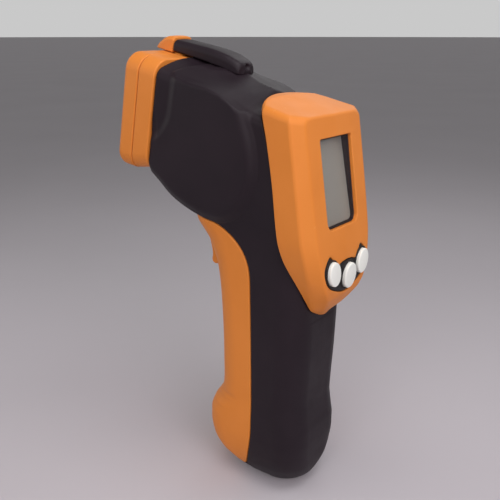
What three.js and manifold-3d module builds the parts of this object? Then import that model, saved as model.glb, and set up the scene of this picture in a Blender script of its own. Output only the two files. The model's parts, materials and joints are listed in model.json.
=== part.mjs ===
// Gun-type infrared thermometer, standing on the flat base of its grip.
// Millimetres, +Z up. The origin is the centre of the flat base, the nose points to -Y and up by
// BARREL_PITCH, the display faces +Y, and the part is symmetric about X = 0 apart from its screws.
import * as THREE from "three";
import { mergeVertices } from "three/addons/utils/BufferGeometryUtils.js";
import { ParametricGeometry } from "three/addons/geometries/ParametricGeometry.js";
import Module from "manifold-3d";

const wasm = await Module();
wasm.setup();

// ---- Driving dimensions, in millimetres and degrees ----
const BARREL_PITCH = 11; // the barrel points up by this much
const BARREL_FRONT = [0, -38, 131]; // centre of the plane where the black shells end
const FACE_LEAN = 8; // the display face looks up by this much
const FACE_CENTRE = [0, 24.2, 107]; // a point on the display face
const WALL = 2.2; // thickness of the moulded walls
const GAP = 0.3; // between parts that touch
const SPLIT = 0.15; // each shell stops this far from X = 0
const CORNER_STEPS = 2; // segments in a rounded corner of a lofted section

const COLLAR_START = 0.3; // distances along the barrel from BARREL_FRONT
const COLLAR_END = 7.4;
const BEZEL_START = 7.7;
const BEZEL_END = 15.6;

const DOOR_SEAM_Y = -0.3; // the battery door ends here on the sides of the grip
const DOOR_BOTTOM_Z = 4.8;
const DOOR_BOTTOM_GAP = 1; // room for the lower edge to swing
const DOOR_HINGE = [-15.2, 8.6]; // y and z of the door's axis
const DOOR_PIN_R = 1.0;
const TRIGGER_PIVOT = [-13, 104]; // y and z of the trigger's axis
const TRIGGER_PIN_R = 1.25;
const TRIGGER_HALF_WIDTH = 6.4;
const PIN_PLAY = 0.09;
const SOLE_PAD_HEIGHT = 1.4;
const WEIGHT_FRONT_Y = 4.6; // the counterweight fills the back of the grip behind this plane
const WEIGHT_BOTTOM_Z = 14.5;
const WEIGHT_TOP_Z = 46;

const LENS_V = -4; // height of the optical axis above the barrel's centre line
const LASER_V = 10.5;
const BATTERY_R = 5.2; // AAA cell
const BATTERY_LENGTH = 44.5;
const BATTERY_X = 5.45;
const BATTERY_Y = -8.5;
const BATTERY_BOTTOM_Z = 17;

const WINDOW_HALF_WIDTH = 9.4;
const WINDOW_TOP = 20.4; // heights on the display face, from FACE_CENTRE
const WINDOW_BOTTOM = -8;
const BUTTONS = {
  left: { x: 9, z: -21.6, fan: 14, tip: 8, depth: 0, half: [3.2, 4.3] },
  middle: { x: 0, z: -24.1, fan: 0, tip: 12, depth: 0, half: [3.6, 4.3] },
  right: { x: -9, z: -21.6, fan: -14, tip: 8, depth: 0, half: [3.2, 4.3] },
};
const BOARD_SCREWS = [
  [12.4, 22],
  [-12.4, 22],
  [12.4, -12],
  [-12.4, -12],
];

// Barrel sections from the nose backwards: distance along the barrel, then half the width of the
// top flat, top height, half-width, height of the upper and lower shoulders, half the width of
// the bottom flat and its height.
const BARREL_SECTIONS = [
  { u: 0, flat: 15, top: 19.2, side: 20.4, upper: 15.8, lower: -14.4, keel: 17, bottom: -18 },
  { u: -3, flat: 12, top: 19.2, side: 20, upper: 15.4, lower: -16.6, keel: 15.8, bottom: -22.6 },
  { u: -8, flat: 10, top: 19, side: 19.4, upper: 15, lower: -18.5, keel: 14, bottom: -26.8 },
  { u: -14, flat: 8.6, top: 18.6, side: 18.8, upper: 14.8, lower: -20.5, keel: 12.4, bottom: -29.4 },
  { u: -20, flat: 7.4, top: 17.4, side: 18.4, upper: 14, lower: -22, keel: 11.4, bottom: -31.4 },
  { u: -26, flat: 6.4, top: 16, side: 18.3, upper: 12.6, lower: -23, keel: 11, bottom: -34 },
  { u: -30, flat: 6, top: 15.2, side: 18.3, upper: 11.6, lower: -24, keel: 11, bottom: -35 },
  { u: -35, flat: 6, top: 14.6, side: 18.3, upper: 10.4, lower: -24, keel: 11, bottom: -35 },
  { u: -56, flat: 6, top: 13.4, side: 18.3, upper: 9.4, lower: -24, keel: 11, bottom: -33 },
];
// Grip sections from the base up: height, front, back and half-width.
const GRIP_SECTIONS = [
  { z: 0, front: -10.4, back: 11, side: 6 },
  { z: 0.9, front: -12.8, back: 13.5, side: 8.2 },
  { z: 2.6, front: -15.3, back: 15.2, side: 10.2 },
  { z: 5, front: -18.3, back: 16.6, side: 12.2 },
  { z: 9, front: -21.2, back: 17.6, side: 14.2 },
  { z: 14, front: -22.9, back: 18.2, side: 15.3 },
  { z: 20, front: -23.6, back: 18.7, side: 15.9 },
  { z: 24, front: -23.5, back: 18.7, side: 15.9 },
  { z: 28, front: -22.2, back: 18.2, side: 15.8 },
  { z: 31.5, front: -19.8, back: 17.8, side: 15.6 },
  { z: 33.8, front: -17.8, back: 17.6, side: 15.5 },
  { z: 52, front: -17.6, back: 18.6, side: 15.6 },
  { z: 68, front: -18, back: 19.1, side: 15.9 },
  { z: 80, front: -19, back: 19.4, side: 16.3 },
  { z: 88, front: -21.4, back: 19.4, side: 16.9 },
  { z: 97, front: -27, back: 19.4, side: 17.6 },
  { z: 108, front: -29, back: 18.5, side: 18.2 },
  { z: 122, front: -24, back: 16, side: 18.2 },
];
// Display housing sections from the tip up: height, greatest half-width and where it is, then
// half-width and place of the face.
const HOUSING_SECTIONS = [
  { z: 66, side: 1.8, waist: 17, rim: 1, face: 18.6 },
  { z: 68.5, side: 5.4, waist: 18.4, rim: 3.4, face: 20.4 },
  { z: 71, side: 8.8, waist: 18.9, rim: 5.4, face: 23 },
  { z: 74, side: 11, waist: 18.6, rim: 7.8, face: 25.2 },
  { z: 77, side: 12.7, waist: 18.2, rim: 10.4, face: 26.8 },
  { z: 80, side: 14.3, waist: 17.6, rim: 13, face: 27.3 },
  { z: 84, side: 16.2, waist: 16.2, rim: 15.4, face: 27.3 },
  { z: 89, side: 18.3, waist: 14.6, rim: 16.9, face: 26.9 },
  { z: 97, side: 20, waist: 12.8, rim: 17.8, face: 25.8 },
  { z: 110, side: 20.5, waist: 11, rim: 17.7, face: 23.9 },
  { z: 125, side: 20.5, waist: 9.8, rim: 17.3, face: 21.7 },
  { z: 136, side: 20, waist: 9, rim: 16.7, face: 20.1 },
  { z: 142, side: 19, waist: 8.6, rim: 16, face: 19.3 },
];
// Where the display housing meets the black shells: height, place on the sides, and how far the
// seam bulges forward over the middle.
const HOUSING_SEAM = [
  { z: 62, side: 30, bulge: 0 },
  { z: 64.5, side: 24, bulge: 0 },
  { z: 66.5, side: 19.4, bulge: 0 },
  { z: 71, side: 19, bulge: 0 },
  { z: 78, side: 18.2, bulge: 0 },
  { z: 82, side: 17.2, bulge: 0 },
  { z: 86, side: 15.7, bulge: 0 },
  { z: 90, side: 14.1, bulge: 0 },
  { z: 97, side: 12.6, bulge: 0 },
  { z: 112, side: 11, bulge: 0.6 },
  { z: 127, side: 9, bulge: 4.6 },
  { z: 134, side: 7.9, bulge: 7.8 },
  { z: 145, side: 6.6, bulge: 8.6 },
];
const HOUSING_TOP = [
  [-16, 139.2],
  [5, 139],
  [21, 133],
  [60, 118],
];
// Outline of the battery door seen from the side, from its bottom corner up and round the horns.
const DOOR_OUTLINE = [
  [-5.4, DOOR_BOTTOM_Z],
  [-4.3, 6.6],
  [-2.9, 9.8],
  [-1.7, 13.8],
  [-0.8, 18],
  [DOOR_SEAM_Y, 23],
  [DOOR_SEAM_Y, 80.5],
  [-1, 85.5],
  [-3.4, 90.4],
  [-7.6, 94],
  [-13.4, 96.3],
  [-20, 97.2],
  [-45, 97.2],
  [-45, DOOR_BOTTOM_Z],
];
const PANEL_OUTLINE = [
  [2, 16],
  [-22, 15.6],
  [-28, 14.6],
  [-31.5, 12.4],
  [-36.6, 6.5],
  [-39.8, 0.4],
  [-41.8, -7.3],
  [-41.2, -13.2],
  [-38.6, -19.5],
  [-33, -24],
  [-24, -25],
  [-13, -23],
  [-5, -19],
  [2, -15.6],
];
const PANEL_HALF_WIDTH = 20;

// ---- Materials ----
function plastic(color, roughness) {
  return new THREE.MeshStandardMaterial({ color, roughness, metalness: 0 });
}
function metal(color, roughness) {
  return new THREE.MeshStandardMaterial({ color, roughness, metalness: 1 });
}
const BLACK = plastic(0x2c2628, 0.55);
const ORANGE = plastic(0xd88243, 0.45);
const WHITE = plastic(0xe9e7e3, 0.4);
const RUBBER = plastic(0x1d1a1b, 0.75);
const LCD_GREY = plastic(0x89837d, 0.35);
const CLEAR = new THREE.MeshStandardMaterial({
  color: 0x9a958f,
  roughness: 0.08,
  transparent: true,
  opacity: 0.5,
});
const LENS = plastic(0x9aa0a8, 0.1);
const BOARD = plastic(0x1f5a38, 0.5);
const CHIP = plastic(0x18181a, 0.5);
const NATURAL = plastic(0xd8d3c6, 0.5);
const CELL_BLUE = plastic(0x3f6f9a, 0.35);
const STEEL = metal(0xb9bbbe, 0.3);
const BRASS = metal(0xc9a55a, 0.3);
const GOLD = metal(0xd6b25c, 0.25);
const WIRE_RED = plastic(0xb3241f, 0.4);
const WIRE_BLACK = plastic(0x161616, 0.4);

// ---- Frames ----
const RAD = Math.PI / 180;

function barrelFrame() {
  const group = new THREE.Group();
  group.position.fromArray(BARREL_FRONT);
  group.rotation.x = -BARREL_PITCH * RAD;
  group.updateMatrixWorld(true);
  return group;
}

function faceFrame() {
  const group = new THREE.Group();
  group.position.fromArray(FACE_CENTRE);
  group.rotation.x = FACE_LEAN * RAD;
  group.updateMatrixWorld(true);
  return group;
}

const BARREL = barrelFrame();
const FACE = faceFrame();

// A point of the barrel: x, distance forward and height across the barrel.
function barrelPoint(x, u, v) {
  return new THREE.Vector3(x, -u, v).applyMatrix4(BARREL.matrixWorld);
}

// ---- Solids ----
function indexWithoutSlivers(index) {
  const kept = [];
  for (let i = 0; i < index.length; i += 3) {
    const [a, b, c] = [index[i], index[i + 1], index[i + 2]];
    if (a !== b && b !== c && c !== a) kept.push(a, b, c);
  }
  return kept;
}

function makeManifold(positions, triangles) {
  const mesh = new wasm.Mesh({
    numProp: 3,
    vertProperties: new Float32Array(positions),
    triVerts: new Uint32Array(triangles),
  });
  return new wasm.Manifold(mesh);
}

// Turns a closed geometry into a solid, facing out whichever way its faces were wound.
function solid(geometry, matrix = null) {
  const loose = geometry.index ? geometry.toNonIndexed() : geometry;
  const bare = new THREE.BufferGeometry();
  bare.setAttribute("position", loose.getAttribute("position").clone());
  if (matrix) bare.applyMatrix4(matrix);
  const merged = mergeVertices(bare, 1e-4);
  const positions = merged.attributes.position.array;
  const triangles = indexWithoutSlivers(merged.index.array);
  const made = makeManifold(positions, triangles);
  return made.volume() >= 0 ? made : makeManifold(positions, triangles.reverse());
}

function join(first, ...others) {
  return others.reduce((sum, other) => sum.add(other), first);
}

function cut(first, ...tools) {
  return tools.reduce((rest, tool) => rest.subtract(tool), first);
}

function common(first, second) {
  return first.intersect(second);
}

function geometryOf(made) {
  const mesh = made.getMesh();
  const geometry = new THREE.BufferGeometry();
  const positions = new Float32Array(mesh.vertProperties);
  geometry.setAttribute("position", new THREE.BufferAttribute(positions, 3));
  geometry.setIndex(new THREE.BufferAttribute(new Uint32Array(mesh.triVerts), 1));
  const flat = geometry.toNonIndexed();
  flat.computeVertexNormals();
  return flat;
}

function piece(name, made, material) {
  const mesh = new THREE.Mesh(geometryOf(made), material);
  mesh.name = name;
  return mesh;
}

// ---- Simple shapes ----
function block(low, high) {
  const size = high.map((value, i) => value - low[i]);
  const geometry = new THREE.BoxGeometry(...size);
  const centre = high.map((value, i) => (value + low[i]) / 2);
  return solid(geometry.translate(...centre));
}

function turnAlong(geometry, axis) {
  if (axis === "x") geometry.rotateZ(-Math.PI / 2);
  if (axis === "z") geometry.rotateX(Math.PI / 2);
  return geometry;
}

function rod(radius, length, axis, centre, segments = 20, endRadius = radius) {
  const geometry = new THREE.CylinderGeometry(endRadius, radius, length, segments);
  return solid(turnAlong(geometry, axis).translate(...centre));
}

// Spins a closed profile of [radius, height] points about an axis.
function spun(profile, axis, centre, segments = 24) {
  const points = profile.map(([r, h]) => new THREE.Vector2(r, h));
  const geometry = new THREE.LatheGeometry(points, segments);
  return solid(turnAlong(geometry, axis).translate(...centre));
}

function shapeOf(points) {
  return new THREE.Shape(points.map(([a, b]) => new THREE.Vector2(a, b)));
}

// A prism across X between two places, from an outline of [y, z] points.
function sidePrism(outline, fromX, toX, bevel = 0) {
  const options = {
    depth: toX - fromX - 2 * bevel,
    bevelEnabled: bevel > 0,
    bevelThickness: bevel,
    bevelSize: bevel,
    bevelOffset: -bevel,
    bevelSegments: 2,
    curveSegments: 6,
  };
  const geometry = new THREE.ExtrudeGeometry(shapeOf(outline), options);
  geometry.translate(0, 0, fromX + bevel);
  geometry.applyMatrix4(new THREE.Matrix4().set(0, 0, 1, 0, 1, 0, 0, 0, 0, 1, 0, 0, 0, 0, 0, 1));
  return solid(geometry);
}

// A wire or rod of round section along a smooth curve.
function cable(points, radius, steps = 10, sides = 5) {
  const path = new THREE.CatmullRomCurve3(points.map((p) => new THREE.Vector3(...p)));
  const section = new THREE.Shape();
  for (let i = 0; i < sides; i += 1) {
    const angle = (i / sides) * 2 * Math.PI;
    const [a, b] = [radius * Math.cos(angle), radius * Math.sin(angle)];
    if (i === 0) section.moveTo(a, b);
    else section.lineTo(a, b);
  }
  section.closePath();
  const options = { steps, extrudePath: path, bevelEnabled: false };
  return solid(new THREE.ExtrudeGeometry(section, options));
}

function coilPoints(radius, turns, height, perTurn, centre, axis) {
  const points = [];
  const count = Math.round(turns * perTurn);
  for (let i = 0; i <= count; i += 1) {
    const angle = (i / perTurn) * 2 * Math.PI;
    const along = (i / count - 0.5) * height;
    const [a, b] = [radius * Math.cos(angle), radius * Math.sin(angle)];
    const local = axis === "z" ? [a, b, along] : [along, a, b];
    points.push(local.map((value, k) => value + centre[k]));
  }
  return points;
}

function coil(radius, wire, turns, height, centre, axis = "z") {
  const perTurn = 10;
  const points = coilPoints(radius, turns, height, perTurn, centre, axis);
  return cable(points, wire, Math.round(turns * perTurn), 5);
}

// ---- Lofts ----
// A closed loop through corners [a, b, reach], each rounded over its reach.
function roundedLoop(corners, steps) {
  const loop = [];
  corners.forEach(([a, b, reach], i) => {
    const here = new THREE.Vector2(a, b);
    const ends = [-1, 1].map((side) => {
      const other = corners[(i + side + corners.length) % corners.length];
      const arm = new THREE.Vector2(other[0], other[1]).sub(here);
      const length = Math.min(reach, arm.length() * 0.48);
      return arm.normalize().multiplyScalar(length).add(here);
    });
    const bend = new THREE.QuadraticBezierCurve(ends[0], here, ends[1]);
    loop.push(...bend.getPoints(steps));
  });
  return loop;
}

function mirroredLoop(half, steps = CORNER_STEPS) {
  const other = half.map(([a, b, reach]) => [-a, b, reach]).reverse();
  return roundedLoop([...half, ...other], steps);
}

function middleOf(loop) {
  const middle = new THREE.Vector3();
  loop.forEach((point) => middle.add(point));
  return middle.divideScalar(loop.length);
}

// A closed skin through loops of 3-D points, closed at both ends.
function loft(loops) {
  const count = loops[0].length;
  const stacks = loops.length + 1;
  const ends = [middleOf(loops[0]), middleOf(loops[loops.length - 1])];
  const surface = (s, t, target) => {
    const level = Math.round(t * stacks);
    const around = Math.round(s * count) % count;
    if (level <= 0) target.copy(ends[0]);
    else if (level >= stacks) target.copy(ends[1]);
    else target.copy(loops[level - 1][around]);
  };
  return solid(new ParametricGeometry(surface, count, stacks));
}

function barrelLoop(section, inset) {
  const corners = [
    [section.flat - inset * 0.6, section.top - inset, 3.2],
    [section.side - inset, section.upper - inset * 0.6, 3.2],
    [section.side - inset, section.lower + inset * 0.6, 5],
    [section.keel - inset * 0.6, section.bottom + inset, 5],
  ];
  return mirroredLoop(corners).map((p) => barrelPoint(p.x, section.u, p.y));
}

function barrelSolid(inset, frontReach) {
  const sections = BARREL_SECTIONS.map((section) => ({ ...section }));
  sections[0].u += frontReach;
  if (inset) sections[sections.length - 1].u -= 4;
  return loft(sections.map((section) => barrelLoop(section, inset)));
}

function gripLoop(section, inset) {
  const side = section.side - inset;
  const front = section.front + inset;
  const back = section.back - inset;
  const corners = [
    [side, front, 13 - 1.2 * inset],
    [side, back, 11 - 1.2 * inset],
  ];
  const points = mirroredLoop(corners, 4);
  return points.map((p) => new THREE.Vector3(p.x, p.y, section.z));
}

function gripSolid(inset, floor = 0) {
  const sections = GRIP_SECTIONS.filter((section) => section.z >= floor);
  const loops = sections.map((section) => gripLoop(section, inset));
  if (floor > 0) {
    const first = GRIP_SECTIONS.findLast((section) => section.z < floor);
    loops.unshift(gripLoop({ ...first, z: floor }, inset));
  }
  return loft(loops);
}

function housingLoop(section, inset) {
  const side = Math.max(section.side - inset, 1.2);
  const height = section.z + (section.z < 80 ? 0.6 * inset : 0);
  const corners = [
    [side, -14, 1],
    [side, section.waist - inset * 0.5, 4],
    [Math.max(section.rim - inset, 1), section.face - inset, 3.2],
    [Math.max(section.rim - inset, 1) * 0.4, section.face - inset + 0.4, 3],
  ];
  return mirroredLoop(corners).map((p) => new THREE.Vector3(p.x, p.y, height));
}

function housingSolid(inset) {
  const loops = HOUSING_SECTIONS.map((section) => housingLoop(section, inset));
  const outline = [...HOUSING_TOP.map(([y, z]) => [y, z - inset]), [60, 60], [-16, 60]];
  return common(loft(loops), sidePrism(outline, -30, 30));
}

// Everything behind the seam of the display housing, moved back by the shift.
function behindSeam(shift) {
  const across = [-40, -20.5, -16, -11, -5.5, 0, 5.5, 11, 16, 20.5, 40];
  const loops = HOUSING_SEAM.map(({ z, side, bulge }) => {
    const edge = across.map((x) => {
      const share = Math.max(0, 1 - (x / 20.5) ** 2);
      return new THREE.Vector3(x, side - bulge * share + shift, z);
    });
    return [...edge, new THREE.Vector3(40, 70, z), new THREE.Vector3(-40, 70, z)];
  });
  return loft(loops);
}

// ---- Body ----
function bossAt(y, z, radius, fromX, toX) {
  return rod(radius, toX - fromX, "x", [(fromX + toX) / 2, y, z], 12);
}

const SCREWS = {
  screw_barrel_rear: { y: -14.1, z: 129.6, headX: -15.2 },
  screw_barrel_front: { y: -27.7, z: 110.7, headX: -15.2 },
  screw_grip_upper: { y: 11.5, z: 66, headX: -12.6 },
  screw_grip_lower: { y: 10.5, z: 8.2, headX: -10.6 },
};
const SCREW_SHANK_R = 1.3;
const SCREW_HEAD_R = 2.5;
const SCREW_HEAD_HEIGHT = 1.8;
const SCREW_LENGTH = 18;

function shellScrew({ y, z, headX }) {
  const head = rod(SCREW_HEAD_R, SCREW_HEAD_HEIGHT, "x", [headX, y, z], 16);
  const shankX = headX + SCREW_LENGTH / 2;
  const shank = rod(SCREW_SHANK_R, SCREW_LENGTH, "x", [shankX, y, z], 12);
  const slotX = headX - SCREW_HEAD_HEIGHT / 2;
  const half = 1.6;
  const across = block([slotX - 1, y - 0.3, z - half], [slotX + 0.7, y + 0.3, z + half]);
  const upright = block([slotX - 1, y - half, z - 0.3], [slotX + 0.7, y + half, z + 0.3]);
  return cut(join(head, shank), across, upright);
}

function bodyOuter() {
  return join(barrelSolid(0, 0), gripSolid(0), panelSlabs());
}

function panelSlabs() {
  const geometry = new THREE.ExtrudeGeometry(shapeOf(PANEL_OUTLINE), {
    depth: 2 * PANEL_HALF_WIDTH - 4,
    bevelEnabled: true,
    bevelThickness: 2,
    bevelSize: 3,
    bevelOffset: 0,
    bevelSegments: 1,
  });
  geometry.translate(0, 0, 2 - PANEL_HALF_WIDTH);
  const toBarrel = new THREE.Matrix4().set(0, 0, 1, 0, -1, 0, 0, 0, 0, 1, 0, 0, 0, 0, 0, 1);
  geometry.applyMatrix4(toBarrel);
  const slab = solid(geometry, BARREL.matrixWorld);
  const behindFront = solid(
    new THREE.BoxGeometry(60, 80, 80).translate(0, 40, 0),
    BARREL.matrixWorld,
  );
  return common(common(slab, behindFront), loft(BARREL_SECTIONS.map(roofLoop)));
}

// A wide section with the barrel's top and shoulders, which trims the top of the side panels.
function roofLoop({ u, flat, top, side, upper }) {
  const spread = 3;
  const fall = (spread * (top - upper)) / (side - flat);
  const corners = [
    [flat, top, 3.2],
    [side + spread, upper - fall, 0.1],
    [side + spread, -40, 0.1],
  ];
  return mirroredLoop(corners).map((p) => barrelPoint(p.x, u, p.y));
}

function doorRegion(grow) {
  const bottomGap = grow ? DOOR_BOTTOM_GAP : 0;
  const outline = DOOR_OUTLINE.map(([y, z]) => {
    const rear = y < -40 ? y : y + grow * (z < 90 ? 1 : 0.6);
    if (z > 90) return [rear, z + grow];
    return [rear, z === DOOR_BOTTOM_Z ? z - bottomGap : z];
  });
  return sidePrism(outline, -30, 30);
}

function triggerSlot() {
  const half = TRIGGER_HALF_WIDTH + 0.5;
  return block([-half, -40, 76.4], [half, -10, 100.2]);
}

function hingeArms() {
  const [y, z] = DOOR_HINGE;
  const arms = [-1, 1].map((side) => {
    const [near, far] = side > 0 ? [3.5, 5.5] : [-5.5, -3.5];
    const arm = block([near, y, z + 0.3], [far, 2, z + 3.4]);
    const eye = bossAt(y, z, 2, near, far);
    const post = block(
      side > 0 ? [near, -0.9, 1.5] : [-14.2, -0.9, 1.5],
      side > 0 ? [14.2, 2, z + 3.4] : [far, 2, z + 3.4],
    );
    return join(arm, eye, post);
  });
  const bore = rod(DOOR_PIN_R + PIN_PLAY, 40, "x", [0, y, z], 24);
  return cut(common(join(...arms), gripSolid(0)), bore);
}

function triggerBosses() {
  const [y, z] = TRIGGER_PIVOT;
  const half = TRIGGER_HALF_WIDTH + 0.3;
  const bosses = join(bossAt(y, z, 3.4, half, 18), bossAt(y, z, 3.4, -18, -half));
  return cut(bosses, rod(TRIGGER_PIN_R + PIN_PLAY, 20, "x", [0, y, z], 24));
}

function screwBosses() {
  const bosses = Object.values(SCREWS).map(({ y, z }) => bossAt(y, z, 3.3, -21, 21));
  return join(...bosses);
}

function screwHoles() {
  const holes = Object.values(SCREWS).map(({ y, z, headX }) => {
    const shank = bossAt(y, z, SCREW_SHANK_R + 0.3, headX, headX + SCREW_LENGTH + 1.2);
    const seat = headX + SCREW_HEAD_HEIGHT / 2 + GAP;
    return join(shank, bossAt(y, z, SCREW_HEAD_R + 0.4, -30, seat));
  });
  return join(...holes);
}

function rails() {
  // Ribs that carry the battery tray, the optical tube and the trigger switch.
  const trayRib = block([-15.5, 2.6, 13], [15.5, 4.2, 15]);
  const trayRibTop = block([-15.5, 2.6, 62], [15.5, 4.2, 64]);
  const switchRib = block([-17.5, -5.2, 88], [17.5, -3.4, 97]);
  const tubeRib = solid(
    new THREE.BoxGeometry(40, 2, 33).translate(0, 3, -3),
    BARREL.matrixWorld,
  );
  const tubeHole = solid(
    turnAlong(new THREE.CylinderGeometry(8.4, 8.4, 10, 24), "y").translate(0, 3, LENS_V),
    BARREL.matrixWorld,
  );
  const laserHole = solid(
    turnAlong(new THREE.CylinderGeometry(4.6, 4.6, 10, 20), "y").translate(0, 3, LASER_V),
    BARREL.matrixWorld,
  );
  return join(trayRib, trayRibTop, switchRib, cut(tubeRib, tubeHole, laserHole));
}

function bodyParts() {
  const outer = bodyOuter();
  const hollow = join(barrelSolid(WALL, 2), gripSolid(WALL, 2.6));
  const innerWorks = common(join(screwBosses(), triggerBosses(), rails()), outer);
  const arms = hingeArms();
  const floorBlock = common(block([-11, -10.9, -1], [11, 3, 2.6]), outer);
  const walls = cut(outer, hollow);
  const doorCut = doorRegion(GAP);
  const trimmed = cut(walls, doorCut);
  const inner = cut(innerWorks, doorCut);
  const whole = join(trimmed, inner, arms, floorBlock);
  const body = cut(whole, triggerSlot(), behindSeam(-GAP), screwHoles(), solePad(GAP));
  return body;
}

function solePad(grow) {
  const [front, back, side] = [-5.5, 7.5, 3.4];
  const top = SOLE_PAD_HEIGHT + grow;
  return block([-side - grow, front - grow, grow ? -1 : 0], [side + grow, back + grow, top]);
}

function halfOf(body, side) {
  const low = side > 0 ? [SPLIT, -100, -10] : [-40, -100, -10];
  const high = side > 0 ? [40, 100, 200] : [-SPLIT, 100, 200];
  return common(body, block(low, high));
}

// ---- Battery door ----
function doorLugs() {
  const [y, z] = DOOR_HINGE;
  const lugs = [-1, 1].map((side) => {
    const [near, far] = side > 0 ? [0.8, 3.1] : [-3.1, -0.8];
    return join(bossAt(y, z, 2.1, near, far), block([near, -21.6, z - 2], [far, y, z + 2]));
  });
  return join(...lugs);
}

function doorPart() {
  const skin = cut(gripSolid(0), gripSolid(WALL, -1));
  const shape = common(skin, doorRegion(0));
  const lugs = common(doorLugs(), gripSolid(0.4));
  const bore = rod(DOOR_PIN_R + PIN_PLAY, 40, "x", [0, ...DOOR_HINGE], 24);
  return cut(join(shape, lugs), triggerSlot(), bore);
}

// ---- Nose ----
function noseLoop(u, inset, taper = 1) {
  const r = 3.4 * taper;
  const bottom = u < 8 ? -18.1 - 0.31 * u : -20.3 - 0.045 * u;
  const corners = [
    [17.4 - inset, 19.3 - inset, r],
    [21 - inset, 15.8 - inset * 0.6, r],
    [20.7 - inset, bottom + 3.6 + inset * 0.6, r],
    [17.6 - inset, bottom + inset, r],
  ];
  return mirroredLoop(corners).map((p) => barrelPoint(p.x, u, p.y));
}

function noseCollar() {
  const outer = loft([noseLoop(COLLAR_START, 0), noseLoop(COLLAR_END, 0)]);
  const inner = loft([noseLoop(COLLAR_START - 2, WALL), noseLoop(COLLAR_END + 2, WALL)]);
  return join(cut(outer, inner), topFin());
}

function topFin() {
  const bezelRoom = loft([noseLoop(COLLAR_END, -GAP), noseLoop(BEZEL_END + 4, -GAP)]);
  const below = block([-20, -80, 100], [20, 0, 140]);
  const collarRoom = loft([noseLoop(COLLAR_START - 2, WALL), noseLoop(COLLAR_END + 2, WALL)]);
  return cut(loft(FIN_SECTIONS.map(railLoop)), bezelRoom, collarRoom, below);
}

function noseBezel() {
  const outer = loft([
    noseLoop(BEZEL_START, 0),
    noseLoop(13, 0),
    noseLoop(14.7, 0.8),
    noseLoop(BEZEL_END, 2.6),
  ]);
  const socket = loft([noseLoop(BEZEL_START - 1, WALL), noseLoop(12.8, WALL)]);
  const mouth = loft([noseLoop(12, 4.4, 1.4), noseLoop(BEZEL_END + 1, 4, 1.4)]);
  return cut(outer, socket, mouth);
}

function frontPlate() {
  const plate = loft([noseLoop(10.3, WALL + GAP), noseLoop(12.5, WALL + GAP)]);
  const place = (radius, v) =>
    solid(
      turnAlong(new THREE.CylinderGeometry(radius, radius, 10, 24), "y").translate(0, -11, v),
      BARREL.matrixWorld,
    );
  return cut(plate, place(6.2, LENS_V), place(2.6, LASER_V));
}

function barrelPrism(outline, halfWidth, bevel) {
  const geometry = new THREE.ExtrudeGeometry(shapeOf(outline), {
    depth: 2 * (halfWidth - bevel),
    bevelEnabled: true,
    bevelThickness: bevel,
    bevelSize: bevel,
    bevelOffset: -bevel,
    bevelSegments: 2,
  });
  geometry.translate(0, 0, bevel - halfWidth);
  const toBarrel = new THREE.Matrix4().set(0, 0, 1, 0, -1, 0, 0, 0, 0, 1, 0, 0, 0, 0, 0, 1);
  return solid(geometry.applyMatrix4(toBarrel), BARREL.matrixWorld);
}

// Sections of the rail, then of the fin in front of it: place, half-width and height.
const RAIL_SECTIONS = [
  { u: 6.2, side: 6.4, top: 23.7 },
  { u: -8, side: 6.4, top: 23.8 },
  { u: -14, side: 6.3, top: 23.3 },
  { u: -18.5, side: 6.1, top: 22.4 },
  { u: -21, side: 5.7, top: 21.5 },
  { u: -22.3, side: 4.8, top: 20.2 },
  { u: -22.7, side: 3.6, top: 19 },
];
const FIN_SECTIONS = [
  { u: 16, side: 3.4, top: 19.9 },
  { u: 15.2, side: 4.2, top: 21.3 },
  { u: 13.6, side: 4.8, top: 22.8 },
  { u: 11.4, side: 5.2, top: 23.8 },
  { u: 8.8, side: 5.4, top: 24.2 },
  { u: 6.6, side: 5.4, top: 24.1 },
];

function railLoop({ u, side, top }) {
  const corners = [
    [side * 0.5, top, 2.2],
    [side * 0.94, top - 2, 2],
    [side, 18, 0.6],
    [side, 13, 0.6],
  ];
  return mirroredLoop(corners).map((p) => barrelPoint(p.x, u, p.y));
}

function topRail() {
  const underside = [
    [9, 19.7],
    [0.3, 19.6],
    [-8, 19.3],
    [-14, 19.2],
    [-20, 18.9],
    [-26, 17.6],
    [-31, 15.4],
    [-31, 10],
    [9, 10],
  ];
  return cut(loft(RAIL_SECTIONS.map(railLoop)), barrelPrism(underside, 20, 0.01));
}

// ---- Optics, in the frame of the barrel where -Y is forward ----
function opticalTube() {
  const profile = [
    [6.6, -9.8],
    [8, -9.8],
    [8, 14],
    [4.5, 14],
    [4.5, 12.4],
    [6.6, 12.4],
    [6.6, -9.8],
  ];
  return spun(profile, "y", [0, 0, LENS_V]);
}

function irLens() {
  const profile = [
    [0, -8.9],
    [3, -8.6],
    [6.3, -7.4],
    [6.3, -5.6],
    [0, -5.6],
  ];
  return spun(profile, "y", [0, 0, LENS_V]);
}

function lensRing() {
  const profile = [
    [6.3, -12.8],
    [8.6, -12.8],
    [8.6, -14],
    [7.9, -14.8],
    [7.2, -14.8],
    [6.3, -12.8],
  ];
  return spun(profile, "y", [0, 0, LENS_V]);
}

function thermopile() {
  const profile = [
    [0, 11],
    [4.1, 11],
    [4.1, 14.4],
    [4.6, 14.4],
    [4.6, 15.2],
    [0, 15.2],
  ];
  return spun(profile, "y", [0, 0, LENS_V]);
}

function sensorBoard() {
  const board = block([-9, 15.6, -14], [9, 17.2, 6]);
  return cut(board, rod(1.1, 4, "y", [7, 16.4, 4], 12), rod(1.1, 4, "y", [-7, 16.4, -12], 12));
}

function laserBody() {
  return join(rod(4.2, 15, "y", [0, 0.5, LASER_V], 20), rod(3.4, 2.6, "y", [0, -8.2, LASER_V], 20));
}

function laserLens() {
  return rod(2.2, 1.4, "y", [0, -11.4, LASER_V], 20);
}

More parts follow.
